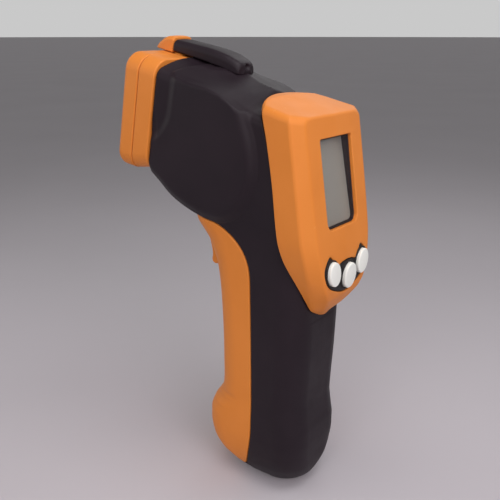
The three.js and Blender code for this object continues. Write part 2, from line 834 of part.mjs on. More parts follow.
// ---- Trigger ----
const TRIGGER_OUTLINE = [
  [-25, 99.6],
  [-26.6, 96],
  [-26.3, 92.5],
  [-24.7, 88.6],
  [-23.2, 84.8],
  [-22.6, 81.6],
  [-22.7, 79.5],
  [-21.8, 78.4],
  [-20.4, 78.6],
  [-19.6, 81.5],
  [-18.4, 86],
  [-16.6, 89.4],
  [-13.8, 89.8],
  [-13.8, 92.4],
  [-15.6, 94],
  [-14, 99],
  [-10, 101],
  [-9, 104],
  [-10.6, 107],
  [-13, 108.2],
  [-16.4, 107],
  [-19.6, 102.4],
];

function triggerPart() {
  const lever = sidePrism(TRIGGER_OUTLINE, -TRIGGER_HALF_WIDTH, TRIGGER_HALF_WIDTH, 0.9);
  return cut(lever, rod(TRIGGER_PIN_R + PIN_PLAY, 30, "x", [0, ...TRIGGER_PIVOT], 24));
}

function triggerSwitch() {
  const body = block([-4, -10.6, 87.6], [4, -5.5, 94.2]);
  return cut(body, rod(1.5, 5.6, "y", [0, -9.2, 91.1], 16));
}

function switchPlunger() {
  return rod(1.2, 4.9, "y", [0, -11.05, 91.1], 16);
}

// ---- Batteries ----
function batteryCell(x, up) {
  const top = BATTERY_BOTTOM_Z + BATTERY_LENGTH;
  const body = [
    [0, BATTERY_BOTTOM_Z],
    [BATTERY_R - 0.4, BATTERY_BOTTOM_Z],
    [BATTERY_R, BATTERY_BOTTOM_Z + 0.5],
    [BATTERY_R, top - 1.6],
    [BATTERY_R - 0.6, top - 1],
    [1.9, top - 1],
    [1.9, top],
    [0, top],
  ];
  const middle = BATTERY_BOTTOM_Z + BATTERY_LENGTH / 2;
  const turned = up ? body : body.map(([r, z]) => [r, 2 * middle - z]).reverse();
  const points = turned.map(([r, z]) => new THREE.Vector2(r, z));
  const geometry = new THREE.LatheGeometry(points, 20);
  return solid(geometry.rotateX(Math.PI / 2).translate(x, BATTERY_Y, 0));
}

function batteryTray() {
  const back = block([-11.1, -2.6, 12.4], [11.1, -1.2, 65.2]);
  const low = block([-9.4, -12.4, 12.4], [9.4, -1.2, 13.8]);
  const high = block([-10.4, -12.2, 63.8], [10.4, -1.2, 65.2]);
  const rib = block([-0.2, -6.4, 15], [0.2, -1.2, 62.6]);
  const feet = join(
    block([-10, -1.4, 13], [10, 2.3, 14.6]),
    block([-10, -1.4, 62.2], [10, 2.3, 63.8]),
  );
  return join(back, low, high, rib, feet);
}

// Counterweight in the heel, without which the nose would tip the standing part forward.
function heelWeight() {
  const room = block([-20, WEIGHT_FRONT_Y, WEIGHT_BOTTOM_Z], [20, 30, WEIGHT_TOP_Z]);
  return common(gripSolid(WALL + GAP), room);
}

function contactPlate(z, x0, x1) {
  return block([x0, -12, z], [x1, -4.6, z + 0.4]);
}

// ---- Display unit, in the frame of the face where +Y points at the reader ----
function housingPart() {
  const outer = common(housingSolid(0), behindSeam(0));
  const hollow = common(housingSolid(WALL), behindSeam(-3));
  const posts = common(solid(geometryOf(boardPosts()), FACE.matrixWorld), outer);
  return cut(join(cut(outer, hollow), posts), faceCutters());
}

function windowPrism(grow, fromY, toY) {
  const [w, top, low] = [WINDOW_HALF_WIDTH + grow, WINDOW_TOP + grow, WINDOW_BOTTOM - grow];
  const corners = [
    [w, low, 1.8],
    [w, top, 0.6],
    [-w, top, 0.6],
    [-w, low, 1.8],
  ];
  const outline = roundedLoop(corners, 3).map((p) => [p.x, p.y]);
  const geometry = new THREE.ExtrudeGeometry(shapeOf(outline), {
    depth: toY - fromY,
    bevelEnabled: false,
  });
  geometry.rotateX(Math.PI / 2).translate(0, toY, 0);
  return solid(geometry);
}

function buttonPrism({ half }, grow, fromY, toY, edge = 0) {
  const shape = new THREE.Shape();
  const [w, h] = half.map((size) => size + grow - edge);
  shape.absellipse(0, 0, w, h, 0, 2 * Math.PI);
  const geometry = new THREE.ExtrudeGeometry(shape, {
    depth: toY - fromY - 2 * edge,
    bevelEnabled: edge > 0,
    bevelThickness: edge,
    bevelSize: edge,
    bevelSegments: 2,
    curveSegments: 8,
  });
  geometry.rotateX(Math.PI / 2).translate(0, toY - edge, 0);
  return geometry;
}

function buttonGroup({ x, z, fan, tip, depth }) {
  const group = new THREE.Group();
  group.position.set(x, -depth, z);
  group.rotation.set(-tip * RAD, fan * RAD, 0);
  group.updateMatrix();
  return group;
}

function faceCutters() {
  const world = FACE.matrixWorld;
  const inFace = (made) => solid(geometryOf(made), world);
  const window = inFace(windowPrism(0, -5, 5));
  const holes = Object.values(BUTTONS).map((spot) => {
    const matrix = new THREE.Matrix4().multiplyMatrices(world, buttonGroup(spot).matrix);
    return solid(buttonPrism(spot, 1, -4, 5), matrix);
  });
  return join(window, ...holes);
}

function buttonCap(spot) {
  return solid(buttonPrism(spot, 0, -1.6, 1.5, 0.5));
}

function keypadMat() {
  const half = [
    [11.6, -15.8],
    [11.2, -22.4],
    [5.6, -27.4],
  ];
  const outline = [...half, ...half.map(([x, z]) => [-x, z]).reverse()];
  const sheet = faceSheet(outline, -4.6, -3.4);
  const collars = Object.values(BUTTONS).map((spot) => {
    const place = buttonGroup(spot).matrix;
    const collar = solid(buttonPrism(spot, 0.7, -5, 0.3), place);
    return cut(collar, solid(buttonPrism(spot, 0.3, -2.8, 3), place));
  });
  return common(join(sheet, ...collars), block([-20, -4.6, -40], [20, 5, 0]));
}

function displayWindow() {
  return windowPrism(-0.35, -1.9, -0.9);
}

function windowFrame() {
  const outer = block([-10, -3.6, -9.6], [10, -2.7, 22.6]);
  return cut(outer, windowPrism(-1.2, -6, 0));
}

function lcdPanel() {
  return block([-9.9, -5.6, -8.6], [9.9, -3.9, 21.6]);
}

function backlight() {
  return block([-9.9, -7.6, -8.6], [9.9, -5.9, 21.6]);
}

// A flat sheet parallel to the display face, from an outline of [x, z] points.
function faceSheet(outline, fromY, toY) {
  const options = { depth: toY - fromY, bevelEnabled: false };
  const geometry = new THREE.ExtrudeGeometry(shapeOf(outline), options);
  return solid(geometry.rotateX(Math.PI / 2).translate(0, toY, 0));
}

function mainBoard() {
  const half = [
    [14.2, 24.2],
    [14.2, -17],
    [12, -23.4],
    [5, -27.4],
  ];
  const outline = [...half, ...half.map(([x, z]) => [-x, z]).reverse()];
  const board = faceSheet(outline, -9.5, -7.9);
  const holes = BOARD_SCREWS.map(([x, z]) => rod(1.5, 6, "y", [x, -8.7, z], 12));
  return cut(board, ...holes);
}

function boardScrew([x, z]) {
  const head = rod(1.9, 1.2, "y", [x, -10.4, z], 12);
  return join(head, rod(1.1, 5, "y", [x, -7.8, z], 12));
}

function boardPosts() {
  const posts = BOARD_SCREWS.map(([x, z]) => {
    return cut(rod(2.2, 9, "y", [x, -3.1, z], 12), rod(1.4, 5.4, "y", [x, -5.4, z], 12));
  });
  return join(...posts);
}

function tactSwitch({ x, z }) {
  const body = block([x - 2.6, -7.7, z - 2.6], [x + 2.6, -5.9, z + 2.6]);
  return join(body, rod(1.4, 0.9, "y", [x, -5.5, z], 12));
}

function buzzer() {
  return cut(rod(4.5, 4, "y", [0, -11.8, 6], 20), rod(0.9, 2, "y", [0, -13.8, 6], 12));
}

// ---- Assembly ----
function assemble() {
  const thermometer = new THREE.Group();
  thermometer.name = "infrared_thermometer";
  const body = bodyParts();
  thermometer.add(
    piece("shell_left", halfOf(body, 1), BLACK),
    piece("shell_right", halfOf(body, -1), BLACK),
    piece("sole_pad", solePad(0), RUBBER),
    piece("nose_collar", noseCollar(), ORANGE),
    piece("nose_bezel", noseBezel(), ORANGE),
    piece("front_plate", frontPlate(), BLACK),
    piece("top_rail", topRail(), BLACK),
    piece("battery_door", doorPart(), ORANGE),
    piece("door_hinge_pin", rod(DOOR_PIN_R, 11, "x", [0, ...DOOR_HINGE], 24), STEEL),
    piece("display_housing", housingPart(), ORANGE),
    piece("trigger", triggerPart(), ORANGE),
    piece("trigger_pin", rod(TRIGGER_PIN_R, 19, "x", [0, ...TRIGGER_PIVOT], 24), STEEL),
    piece("trigger_switch", triggerSwitch(), CHIP),
    piece("switch_plunger", switchPlunger(), NATURAL),
    piece("battery_tray", batteryTray(), RUBBER),
    piece("battery_left", batteryCell(BATTERY_X, true), CELL_BLUE),
    piece("battery_right", batteryCell(-BATTERY_X, false), CELL_BLUE),
    piece("heel_weight", heelWeight(), STEEL),
  );
  for (const [name, place] of Object.entries(SCREWS)) {
    thermometer.add(piece(name, shellScrew(place), STEEL));
  }
  addContacts(thermometer);
  const optics = barrelFrame();
  optics.add(
    piece("optical_tube", opticalTube(), RUBBER),
    piece("ir_lens", irLens(), LENS),
    piece("lens_ring", lensRing(), STEEL),
    piece("thermopile_sensor", thermopile(), STEEL),
    piece("sensor_board", sensorBoard(), BOARD),
    piece("laser_module", laserBody(), BRASS),
    piece("laser_lens", laserLens(), CLEAR),
  );
  const display = faceFrame();
  display.add(
    piece("display_window", displayWindow(), CLEAR),
    piece("lcd_bezel", windowFrame(), BLACK),
    piece("lcd_panel", lcdPanel(), LCD_GREY),
    piece("lcd_backlight", backlight(), NATURAL),
    piece("main_board", mainBoard(), BOARD),
    piece("controller_chip", block([-6, -11.2, -14], [6, -9.8, -2]), CHIP),
    piece("buzzer", buzzer(), CHIP),
    piece("keypad_mat", keypadMat(), RUBBER),
  );
  BOARD_SCREWS.forEach((spot, i) => {
    display.add(piece("board_screw_" + (i + 1), boardScrew(spot), STEEL));
  });
  for (const [name, spot] of Object.entries(BUTTONS)) {
    const cap = buttonGroup(spot);
    cap.add(piece("button_" + name, buttonCap(spot), WHITE));
    display.add(cap, piece("key_switch_" + name, tactSwitch(spot), CHIP));
  }
  addCables(thermometer);
  thermometer.add(optics, display);
  return thermometer;
}

function addCables(group) {
  const routes = {
    sensor_cable: [[6, -20, 126], [7, -6, 124.5], [7, 5, 123], [7, 11.6, 121.5]],
    laser_cable: [[1, -27.2, 138.7], [2, -22, 135.8], [3, -8, 133.5], [5, 10.6, 128]],
    battery_lead_red: [[8, -3.4, 66.6], [8, 2, 70], [8.4, 9, 78], [8, 15.2, 88]],
    battery_lead_black: [[-8, -3.4, 66.6], [-8, 2, 70], [-8.4, 9, 78], [-8, 15.2, 88]],
    switch_cable: [[2, -8, 86.5], [2, -2, 86.3], [2, 8, 86.5], [2, 15.6, 87]],
  };
  for (const [name, points] of Object.entries(routes)) {
    const color = name.endsWith("red") ? WIRE_RED : WIRE_BLACK;
    group.add(piece(name, cable(points, 0.7, 8, 6), color));
  }
}

// Springs and plates at the two ends of the battery tray.
function addContacts(group) {
  const low = BATTERY_BOTTOM_Z - 2;
  const high = BATTERY_BOTTOM_Z + BATTERY_LENGTH;
  group.add(
    piece("contact_plate_lower", contactPlate(14.1, -9.4, 9.4), STEEL),
    piece("contact_plate_upper_left", contactPlate(63.1, 1, 10.4), STEEL),
    piece("contact_plate_upper_right", contactPlate(63.1, -10.4, -1), STEEL),
    piece("battery_spring_left", coil(3.4, 0.3, 2.4, 1.3, [BATTERY_X, BATTERY_Y, low + 0.6]), STEEL),
    piece("battery_spring_right", coil(3.4, 0.3, 1.2, 0.4, [-BATTERY_X, BATTERY_Y, high + 0.8]), STEEL),
  );
}

export default assemble();
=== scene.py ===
import json
import math

import bmesh
import bpy
import numpy as np
from mathutils import Matrix, Vector


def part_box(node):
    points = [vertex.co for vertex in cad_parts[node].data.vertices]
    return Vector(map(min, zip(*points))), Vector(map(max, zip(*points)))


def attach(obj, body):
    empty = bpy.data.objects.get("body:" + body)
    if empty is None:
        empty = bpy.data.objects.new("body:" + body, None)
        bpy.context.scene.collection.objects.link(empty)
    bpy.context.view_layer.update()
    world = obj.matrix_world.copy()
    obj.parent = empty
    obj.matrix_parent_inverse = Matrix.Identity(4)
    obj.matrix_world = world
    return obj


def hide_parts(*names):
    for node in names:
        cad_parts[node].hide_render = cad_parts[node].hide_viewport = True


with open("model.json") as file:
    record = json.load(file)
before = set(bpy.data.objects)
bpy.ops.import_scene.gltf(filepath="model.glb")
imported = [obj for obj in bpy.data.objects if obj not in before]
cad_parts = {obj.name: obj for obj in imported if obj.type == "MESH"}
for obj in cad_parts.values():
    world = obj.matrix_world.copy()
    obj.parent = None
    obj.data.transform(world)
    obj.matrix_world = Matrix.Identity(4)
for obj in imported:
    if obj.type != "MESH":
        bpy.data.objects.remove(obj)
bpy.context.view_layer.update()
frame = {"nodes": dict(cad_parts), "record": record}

# Shapes are worked out in millimetres, in the part's frame, and scaled to metres at the end.
MM = 0.001
WALL = 2.2
GAP = 0.26
PARTING = 0.02
# Along the barrel from its front.
NOSE_SPLIT = 7.4
NOSE_FRONT = 15.1
RAIL_FRONT = 7.6
# Up from the barrel's centre line.
LENS_V = -4
LASER_V = 10.5
PITCH = math.radians(11)
BARREL_FRONT = (0.0, -38.0, 131.0)
FACE_LEAN = math.radians(8)
FACE_CENTRE = (0.0, 24.2, 107.0)
COARSER = 1.0


# ---- Tables ----
class Profile:
    """Columns of numbers against a key, joined by monotone cubics and sampled finely."""

    def __init__(self, rows):
        rows = np.array(sorted(rows), float)
        keys = rows[:, 0]
        self.keys = np.linspace(keys[0], keys[-1], 1200)
        self.columns = []
        self.tilts = []
        for values in rows.T[1:]:
            fine = self.cubic(keys, values)
            self.columns.append(fine)
            self.tilts.append(1 / np.sqrt(1 + np.gradient(fine, self.keys) ** 2))

    def cubic(self, keys, values):
        step = np.diff(keys)
        rise = np.diff(values) / step
        slope = np.zeros(len(keys))
        slope[0], slope[-1] = rise[0], rise[-1]
        same = rise[:-1] * rise[1:] > 0
        w1, w2 = 2 * step[1:] + step[:-1], step[1:] + 2 * step[:-1]
        with np.errstate(divide="ignore", invalid="ignore"):
            mean = (w1 + w2) / (w1 / rise[:-1] + w2 / rise[1:])
        slope[1:-1] = np.where(same, mean, 0)
        i = np.clip(np.searchsorted(keys, self.keys, "right") - 1, 0, len(step) - 1)
        t = (self.keys - keys[i]) / step[i]
        low, high = values[i], values[i + 1]
        m0, m1 = slope[i] * step[i], slope[i + 1] * step[i]
        bend = (2 * t**3 - 3 * t**2 + 1) * low + (t**3 - 2 * t**2 + t) * m0
        return bend + (3 * t**2 - 2 * t**3) * high + (t**3 - t**2) * m1

    def at(self, key, column):
        return np.interp(key, self.keys, self.columns[column])

    def tilt(self, key, column):
        return np.interp(key, self.keys, self.tilts[column])


# Along the barrel: half-width of the top flat, top, half-width, upper and lower shoulder,
# half-width of the bottom flat, bottom.
BARREL = Profile([
    (0, 15, 19.2, 20.4, 15.8, -14.4, 17, -18), (-3, 12, 19.2, 20, 15.4, -16.6, 15.8, -22.6),
    (-8, 10, 19, 19.4, 15, -18.5, 14, -26.8), (-14, 8.6, 18.6, 18.8, 14.8, -20.5, 12.4, -29.4),
    (-20, 7.4, 17.4, 18.4, 14.9, -22, 11.4, -31.4), (-26, 6.4, 16.1, 18.3, 14.2, -23, 11, -34),
    (-30, 6, 15.3, 18.3, 13, -24, 11, -35), (-35, 6, 14.6, 18.3, 11.2, -24, 11, -35),
    (-56, 6, 13.4, 18.3, 9.4, -24, 11, -33),
])
# Up the grip: front, back, half-width.
GRIP = Profile([
    (0, -10.4, 11, 6), (0.9, -12.6, 13, 7.6), (2.6, -15, 14.8, 9.6), (5, -18, 16.4, 11.8),
    (9, -21.1, 17.6, 14), (14, -22.9, 18.2, 15.3), (20, -23.6, 18.7, 15.9),
    (24, -23.5, 18.7, 15.9), (28, -22.1, 18.2, 15.8), (31.6, -19.7, 17.8, 15.6),
    (34.4, -18.1, 17.6, 15.5), (39, -17.6, 17.8, 15.5), (52, -17.6, 18.6, 15.6),
    (68, -18, 19.1, 15.9),
    (80, -19, 19.4, 16.3), (88, -21.4, 19.4, 16.9), (97, -27, 19.4, 17.6),
    (108, -29, 18.5, 17.9), (115, -27, 17.4, 16.6), (122, -24, 16, 13),
])
# Up the display housing: half-width, where it is widest, half-width of the face, face.
HOUSING = Profile([
    (66, 1.8, 17, 1, 18.6), (68.5, 5.4, 18.6, 3.4, 20.4), (71, 8.8, 20, 5.4, 23),
    (74, 11, 21, 7.8, 25.2), (77, 13, 21.8, 10.2, 26.8), (80, 14.8, 22.2, 12.2, 27.3),
    (84, 16.9, 23.1, 13.6, 27.3), (89, 18.8, 23.1, 14.8, 26.9), (97, 20.3, 22.2, 16.1, 25.8),
    (110, 20.5, 20.5, 16.4, 23.9), (125, 20.5, 18.4, 16.3, 21.7), (136, 20.4, 16.9, 16.1, 20.1),
    (142, 20.2, 16.1, 15.9, 19.3),
])
# Where the housing meets the shells: place on the sides, bulge over the middle.
SEAM = Profile([
    (62, 30, 0), (64.5, 24, 0), (66.5, 19.4, 0), (71, 19, 0), (78, 18.2, 0), (82, 17.2, 0),
    (86, 15.7, 0), (90, 14.1, 0), (97, 12.6, 0), (112, 11, 0.6), (127, 9, 4.6),
    (134, 7.9, 7.8), (145, 6.6, 8.6),
])
# Along the barrel: half-width and top, of the rail and of the sighting fin.
RAIL = Profile([
    (7.6, 5.1, 23.7), (-8, 5.1, 23.9), (-14, 5.1, 23.5), (-17.5, 5, 22.8), (-19.8, 4.7, 22.1),
    (-21.2, 4.1, 21.2), (-21.8, 3.4, 19.6),
])
FIN = Profile([
    (16.9, 3.9, 19.4), (15.9, 4.2, 20.8), (14.5, 4.4, 22.1), (12.9, 4.6, 23.3), (11.2, 4.7, 24.1),
    (9.6, 4.8, 24.4), (6.6, 4.8, 24.3),
])


# ---- Combining fields: each is negative inside, in millimetres ----
def meet(a, b, r):
    """The part inside both, with the edge between them rounded to radius r."""
    return np.minimum(-r, np.maximum(a, b)) + np.hypot(np.maximum(a + r, 0), np.maximum(b + r, 0))


def merge(a, b, r):
    """The part inside either, with the corner between them filled to radius r."""
    return -meet(-a, -b, r)


def slanted(px, py, a, b):
    """Distance outside the line from a to b; each is a pair, and outside is on its left."""
    dx, dy = b[0] - a[0], b[1] - a[1]
    return ((py - a[1]) * dx - (px - a[0]) * dy) / np.sqrt(dx * dx + dy * dy)


def box_field(x, y, z, low, high, r=0.3):
    """A box between two corners, with rounded edges."""
    across = np.maximum(low[0] - x, x - high[0])
    along = np.maximum(low[1] - y, y - high[1])
    return meet(meet(across, along, r), np.maximum(low[2] - z, z - high[2]), r)


def barrel_uv(y, z):
    """Forward along the barrel, and up from its centre line."""
    dy, dz = y - BARREL_FRONT[1], z - BARREL_FRONT[2]
    c, s = math.cos(PITCH), math.sin(PITCH)
    return -c * dy + s * dz, s * dy + c * dz


def from_barrel(x, u, v):
    c, s = math.cos(PITCH), math.sin(PITCH)
    return (x, BARREL_FRONT[1] - c * u + s * v, BARREL_FRONT[2] + s * u + c * v)


def face_yz(y, z):
    """Out from the display face, and up along it."""
    dy, dz = y - FACE_CENTRE[1], z - FACE_CENTRE[2]
    c, s = math.cos(FACE_LEAN), math.sin(FACE_LEAN)
    return c * dy + s * dz, c * dz - s * dy


# ---- Flat outlines ----
def curve(points, per=6):
    """A smooth run through the points."""
    p = np.array(points, float)
    p = np.vstack([2 * p[0] - p[1], p, 2 * p[-1] - p[-2]])
    run = []
    for a, b, c, d in zip(p[:-3], p[1:-2], p[2:-1], p[3:]):
        for t in np.arange(per) / per:
            run.append(0.5 * (2 * b + (c - a) * t + (2 * a - 5 * b + 4 * c - d) * t**2
                              + (3 * b - a - 3 * c + d) * t**3))
    return [tuple(q) for q in run] + [tuple(p[-2])]


class Outline:
    """Signed distance to a closed flat outline, read from a fine table."""

    def __init__(self, points, step=0.2, margin=8):
        p = np.array(points, float)
        self.low = p.min(0) - margin
        self.step = step
        count = np.ceil((p.max(0) + margin - self.low) / step).astype(int) + 1
        self.count = count
        a, b = np.meshgrid(self.low[0] + step * np.arange(count[0]),
                           self.low[1] + step * np.arange(count[1]), indexing="ij")
        best = np.full(a.shape, 1e9)
        inside = np.zeros(a.shape, bool)
        for (x0, y0), (x1, y1) in zip(p, np.roll(p, -1, 0)):
            dx, dy = x1 - x0, y1 - y0
            length = dx * dx + dy * dy
            if length < 1e-12:
                continue
            t = np.clip(((a - x0) * dx + (b - y0) * dy) / length, 0, 1)
            best = np.minimum(best, (a - x0 - t * dx) ** 2 + (b - y0 - t * dy) ** 2)
            if y0 != y1:
                crosses = ((y0 > b) != (y1 > b)) & (a < (b - y0) * dx / dy + x0)
                inside ^= crosses
        self.values = np.where(inside, -1, 1) * np.sqrt(best)

    def __call__(self, a, b):
        i = (a - self.low[0]) / self.step
        j = (b - self.low[1]) / self.step
        i = np.clip(i, 0, self.count[0] - 1.001)
        j = np.clip(j, 0, self.count[1] - 1.001)
        i0, j0 = i.astype(int), j.astype(int)
        fi, fj = i - i0, j - j0
        v = self.values
        low = v[i0, j0] * (1 - fi) + v[i0 + 1, j0] * fi
        high = v[i0, j0 + 1] * (1 - fi) + v[i0 + 1, j0 + 1] * fi
        return low * (1 - fj) + high * fj


DOOR_CURVE = [(-5.4, 4.8), (-4.3, 6.6), (-2.9, 9.8), (-1.7, 13.8), (-0.8, 18), (-0.3, 23),
              (-0.3, 40), (-0.3, 60), (-0.3, 74), (-0.3, 80.5), (-1, 85.5), (-3.4, 90.4),
              (-7.6, 94.4), (-13.4, 97.3), (-20, 98.5)]
DOOR = Outline(curve(DOOR_CURVE) + [(-45, 98.5), (-45, 4.8)])
PANEL = Outline(curve([
    (-7.4, 8), (-7.6, 13.6), (-9, 15.7), (-13, 15.8), (-22, 16.2), (-28, 15.8), (-31.8, 13.4),
    (-36.6, 6.5), (-39.8, 0.4), (-41.8, -7.3), (-41.2, -13.2), (-38.6, -19.5), (-33, -24),
    (-24, -25),
    (-13, -23), (-5, -19), (2, -15.6), (11, -11.6), (12, -10), (10, -9.2), (4, -8.8), (-2.4, -6.4),
    (-6.4, -0.6), (-7.3, 4), (-7.4, 8),
]))
TRIGGER = Outline(curve([
    (-19.6, 102.4), (-25.4, 99.8), (-27.4, 96.2), (-27.2, 92.5), (-26, 88.6), (-24.9, 84.8),
    (-24.4, 81.8), (-24.7, 79.6), (-23.8, 78.3), (-22, 78.5), (-20.2, 81.5), (-18.4, 86),
    (-16.6, 89.4), (-13.8, 89.8),
]) + [(-13.8, 92.4), (-15.6, 94)] + curve([
    (-14, 99), (-10, 101), (-9, 104), (-10.6, 107), (-13, 108.2), (-16.4, 107), (-19.6, 102.4),
]))
RAIL_UNDER = Outline([(20, 19.8), (9, 19.7), (0.3, 19.6), (-8, 19.3), (-14, 18.9), (-20, 18),
                      (-26, 17.6), (-31, 15.4), (-40, 10), (-40, -10), (20, -10)])
KEYPAD_HALF = [(0, -18.9), (3.2, -19.2), (5.9, -19.8), (7.9, -17.8), (9.6, -16), (11.4, -17),
               (13.2, -19.4), (13.3, -21.8), (12.1, -24.4), (9.8, -26.5), (6.6, -28),
               (3.6, -29.1), (0, -29.6)]
KEYPAD = Outline(curve(KEYPAD_HALF, 4) + curve([(-x, z) for x, z in KEYPAD_HALF[::-1]], 4),
                 0.12, 4)


def rounded_rectangle(low, high, radii):
    """Corner radii run from the lower left anticlockwise."""
    corners = [(low[0], low[1], 180), (high[0], low[1], 270), (high[0], high[1], 0),
               (low[0], high[1], 90)]
    points = []
    for (cx, cy, start), r in zip(corners, radii):
        sx, sy = (1 if cx == low[0] else -1), (1 if cy == low[1] else -1)
        for angle in np.radians(start + np.linspace(0, 90, 8)):
            points.append((cx + sx * r + r * math.cos(angle), cy + sy * r + r * math.sin(angle)))
    return points


WINDOW = Outline(rounded_rectangle((-9.4, -8), (9.4, 20.4), (2.6, 2.6, 0.7, 0.7)), 0.12, 4)


# ---- The object's fields ----
def grip(x, y, z, inset=0.0):
    """The grip, or the space inset from its skin."""
    side = GRIP.at(z, 2) - inset
    tilt = [GRIP.tilt(z, i) for i in range(3)]
    reach = 0.96 * side
    across = (np.abs(x) - side) * tilt[2]
    front = (GRIP.at(z, 0) + inset - y) * tilt[0]
    back = (y - GRIP.at(z, 1) + inset) * tilt[1]
    made = meet(across, front, 0.854 * np.minimum(13 - 1.2 * inset, reach))
    made = meet(made, back, 0.854 * np.minimum(11 - 1.2 * inset, reach))
    return np.maximum(made, z - 122)


def barrel(x, u, v, inset=0.0):
    """The barrel, or the space inset from its skin."""
    flat, top, side, upper, lower, keel, bottom = (BARREL.at(u, i) for i in range(7))
    x = np.abs(x) + inset
    made = meet(v + inset - top, slanted(-x, v + inset * 0.7, (-side, upper), (-flat, top)), 5)
    made = meet(made, (x - side) * BARREL.tilt(u, 2), 2.4)
    made = meet(made, slanted(x, inset * 0.7 - v, (keel, -bottom), (side, -lower))
                * BARREL.tilt(u, 6), 6)
    made = meet(made, (bottom - v + inset) * BARREL.tilt(u, 6), 4)
    return np.maximum(made, -56 - u)


def panel(x, u, v):
    """The raised slab on each side of the barrel, with its wide bevel."""
    edge = PANEL(u, v)
    side = np.abs(x) - 20
    made = meet(side, (edge + 1.5 * side) / 1.803, 0.6)
    made = meet(made, edge - 3, 0.5)
    flat, top, half, upper = (BARREL.at(u, i) for i in range(4))
    return meet(made, slanted(-np.abs(x), v, (-half, upper), (-flat, top)), 0.8)


def seam(x, y, z):
    """Positive behind the seam of the display housing."""
    reach = np.maximum(0, 1 - (x / 20.5) ** 2)
    return (y - SEAM.at(z, 0) + SEAM.at(z, 1) * reach) * SEAM.tilt(z, 0)


# The slot for the trigger, through the door and the shells.
SLOT_HALF_WIDTH, SLOT_LOW, SLOT_HIGH = 6.9, 76.4, 100.2
# The door's hinge and the trigger's pivot run across the part, at a y and a z.
HINGE = (-15.2, 8.6)
HINGE_BORE = 1.09
HINGE_RELIEF = 4.75
TRIGGER_PIVOT = (-13, 104)
TRIGGER_BORE = 1.34
TRIGGER_HALF_WIDTH = 6.4
DOOR_BOTTOM = 4.8
# Each screw's y and z, and the x of the middle of its head.
SCREWS = {
    "screw_barrel_rear": (-14.1, 129.6, -15.2), "screw_barrel_front": (-27.7, 110.7, -15.2),
    "screw_grip_upper": (11.5, 66, -12.6), "screw_grip_lower": (10.5, 8.2, -10.6),
}


def trigger_slot(x, z):
    return meet(np.abs(x) - SLOT_HALF_WIDTH, np.maximum(SLOT_LOW - z, z - SLOT_HIGH), 1.2)


def from_hinge(y, z):
    return np.hypot(y - HINGE[0], z - HINGE[1])


def shells(x, y, z):
    u, v = barrel_uv(y, z)
    handle = meet(grip(x, y, z), -z, 0.4)
    outer = merge(barrel(x, u, v), handle, 1.6)
    outer = merge(outer, panel(x, u, v), 0.9)
    hollow = np.minimum(np.maximum(barrel(x, u, v, WALL), u - 2),
                        np.maximum(grip(x, y, z, WALL), 2.6 - z))
    made = np.maximum(outer, -hollow)
    made = meet(made, u, 0.7)
    made = meet(made, GAP - DOOR(y, z), 0.45)
    made = meet(made, HINGE_RELIEF - from_hinge(y, z), 0.2)
    posts = np.minimum(box_field(np.abs(x), y, z, (3.5, -0.9, 1.5), (14.2, 2, 12)),
                       box_field(np.abs(x), y, z, (3.5, HINGE[0], 8.9), (5.5, 2, 12)))
    eye = meet(from_hinge(y, z) - 2, np.abs(np.abs(x) - 4.5) - 1, 0.3)
    posts = np.minimum(posts, eye)
    made = np.minimum(made, np.maximum(posts, outer + 0.3))
    made = np.maximum(made, HINGE_BORE - from_hinge(y, z))
    made = meet(made, -trigger_slot(x, z), 0.4)
    made = meet(made, seam(x, y, z) + GAP, 0.5)
    for y0, z0, head in SCREWS.values():
        hole = np.maximum(np.hypot(y - y0, z - z0) - 2.9, x - head - 1.2)
        made = meet(made, -hole, 0.35)
    pad = box_field(x, y, z, (-3.7, -5.8, -3), (3.7, 7.8, 1.7))
    return np.maximum(made, -pad)


def shell_half(side):
    return lambda x, y, z: np.maximum(shells(x, y, z), PARTING - side * x)


def battery_door(x, y, z):
    outer = meet(grip(x, y, z), DOOR_BOTTOM - z, 0.5)
    made = np.maximum(outer, -grip(x, y, z, WALL))
    made = meet(made, DOOR(y, z), 0.55)
    lug = meet(from_hinge(y, z) - 2.1, np.abs(np.abs(x) - 1.95) - 1.15, 0.3)
    arm = box_field(np.abs(x), y, z, (0.8, -21.6, 6.6), (3.1, HINGE[0], 10.6))
    made = np.minimum(made, np.maximum(np.minimum(lug, arm), outer + 0.3))
    made = np.maximum(made, HINGE_BORE - from_hinge(y, z))
    return meet(made, -trigger_slot(x, z), 0.7)


def trigger(x, y, z):
    made = meet(TRIGGER(y, z), np.abs(x) - TRIGGER_HALF_WIDTH, 0.9)
    return np.maximum(made, TRIGGER_BORE - np.hypot(y - TRIGGER_PIVOT[0], z - TRIGGER_PIVOT[1]))


def housing_top(x, y, z):
    """Above the crowned top of the display housing, which falls towards the face."""
    back, front = (5, -139.5), (21, -134.1)
    flat = np.maximum(slanted(y, -z, back, (-16, -139.7)), slanted(y, -z, front, back))
    return flat + np.interp(y, [6, 19], [1.8, 0.2]) * (x / 20) ** 2


def housing_outer(x, y, z, inset=0.0):
    side, waist, rim, face = (HOUSING.at(z, i) for i in range(4))
    tilt = HOUSING.tilt(z, 0)
    x = np.abs(x) + inset
    y = y + inset
    side = side - 0.1 * np.maximum(waist - y, 0)
    chamfer = slanted(-x, -y, (-rim, -face), (-HOUSING.at(z, 0), -waist))
    flank = meet((x - side) * tilt, chamfer * tilt, 0.6)
    lean = HOUSING.tilt(z, 3)
    crown = slanted(-x, -y, (-0.4 * rim, -face - 0.4), (-rim, -face)) * lean
    front = meet(crown, (y - face - 0.4) * lean, 1)
    roof = housing_top(x, y, z + inset)
    made = meet(meet(flank, roof, 2.4), meet(front, roof, 0.9), 0.6)
    return np.maximum(made, 66 - z)


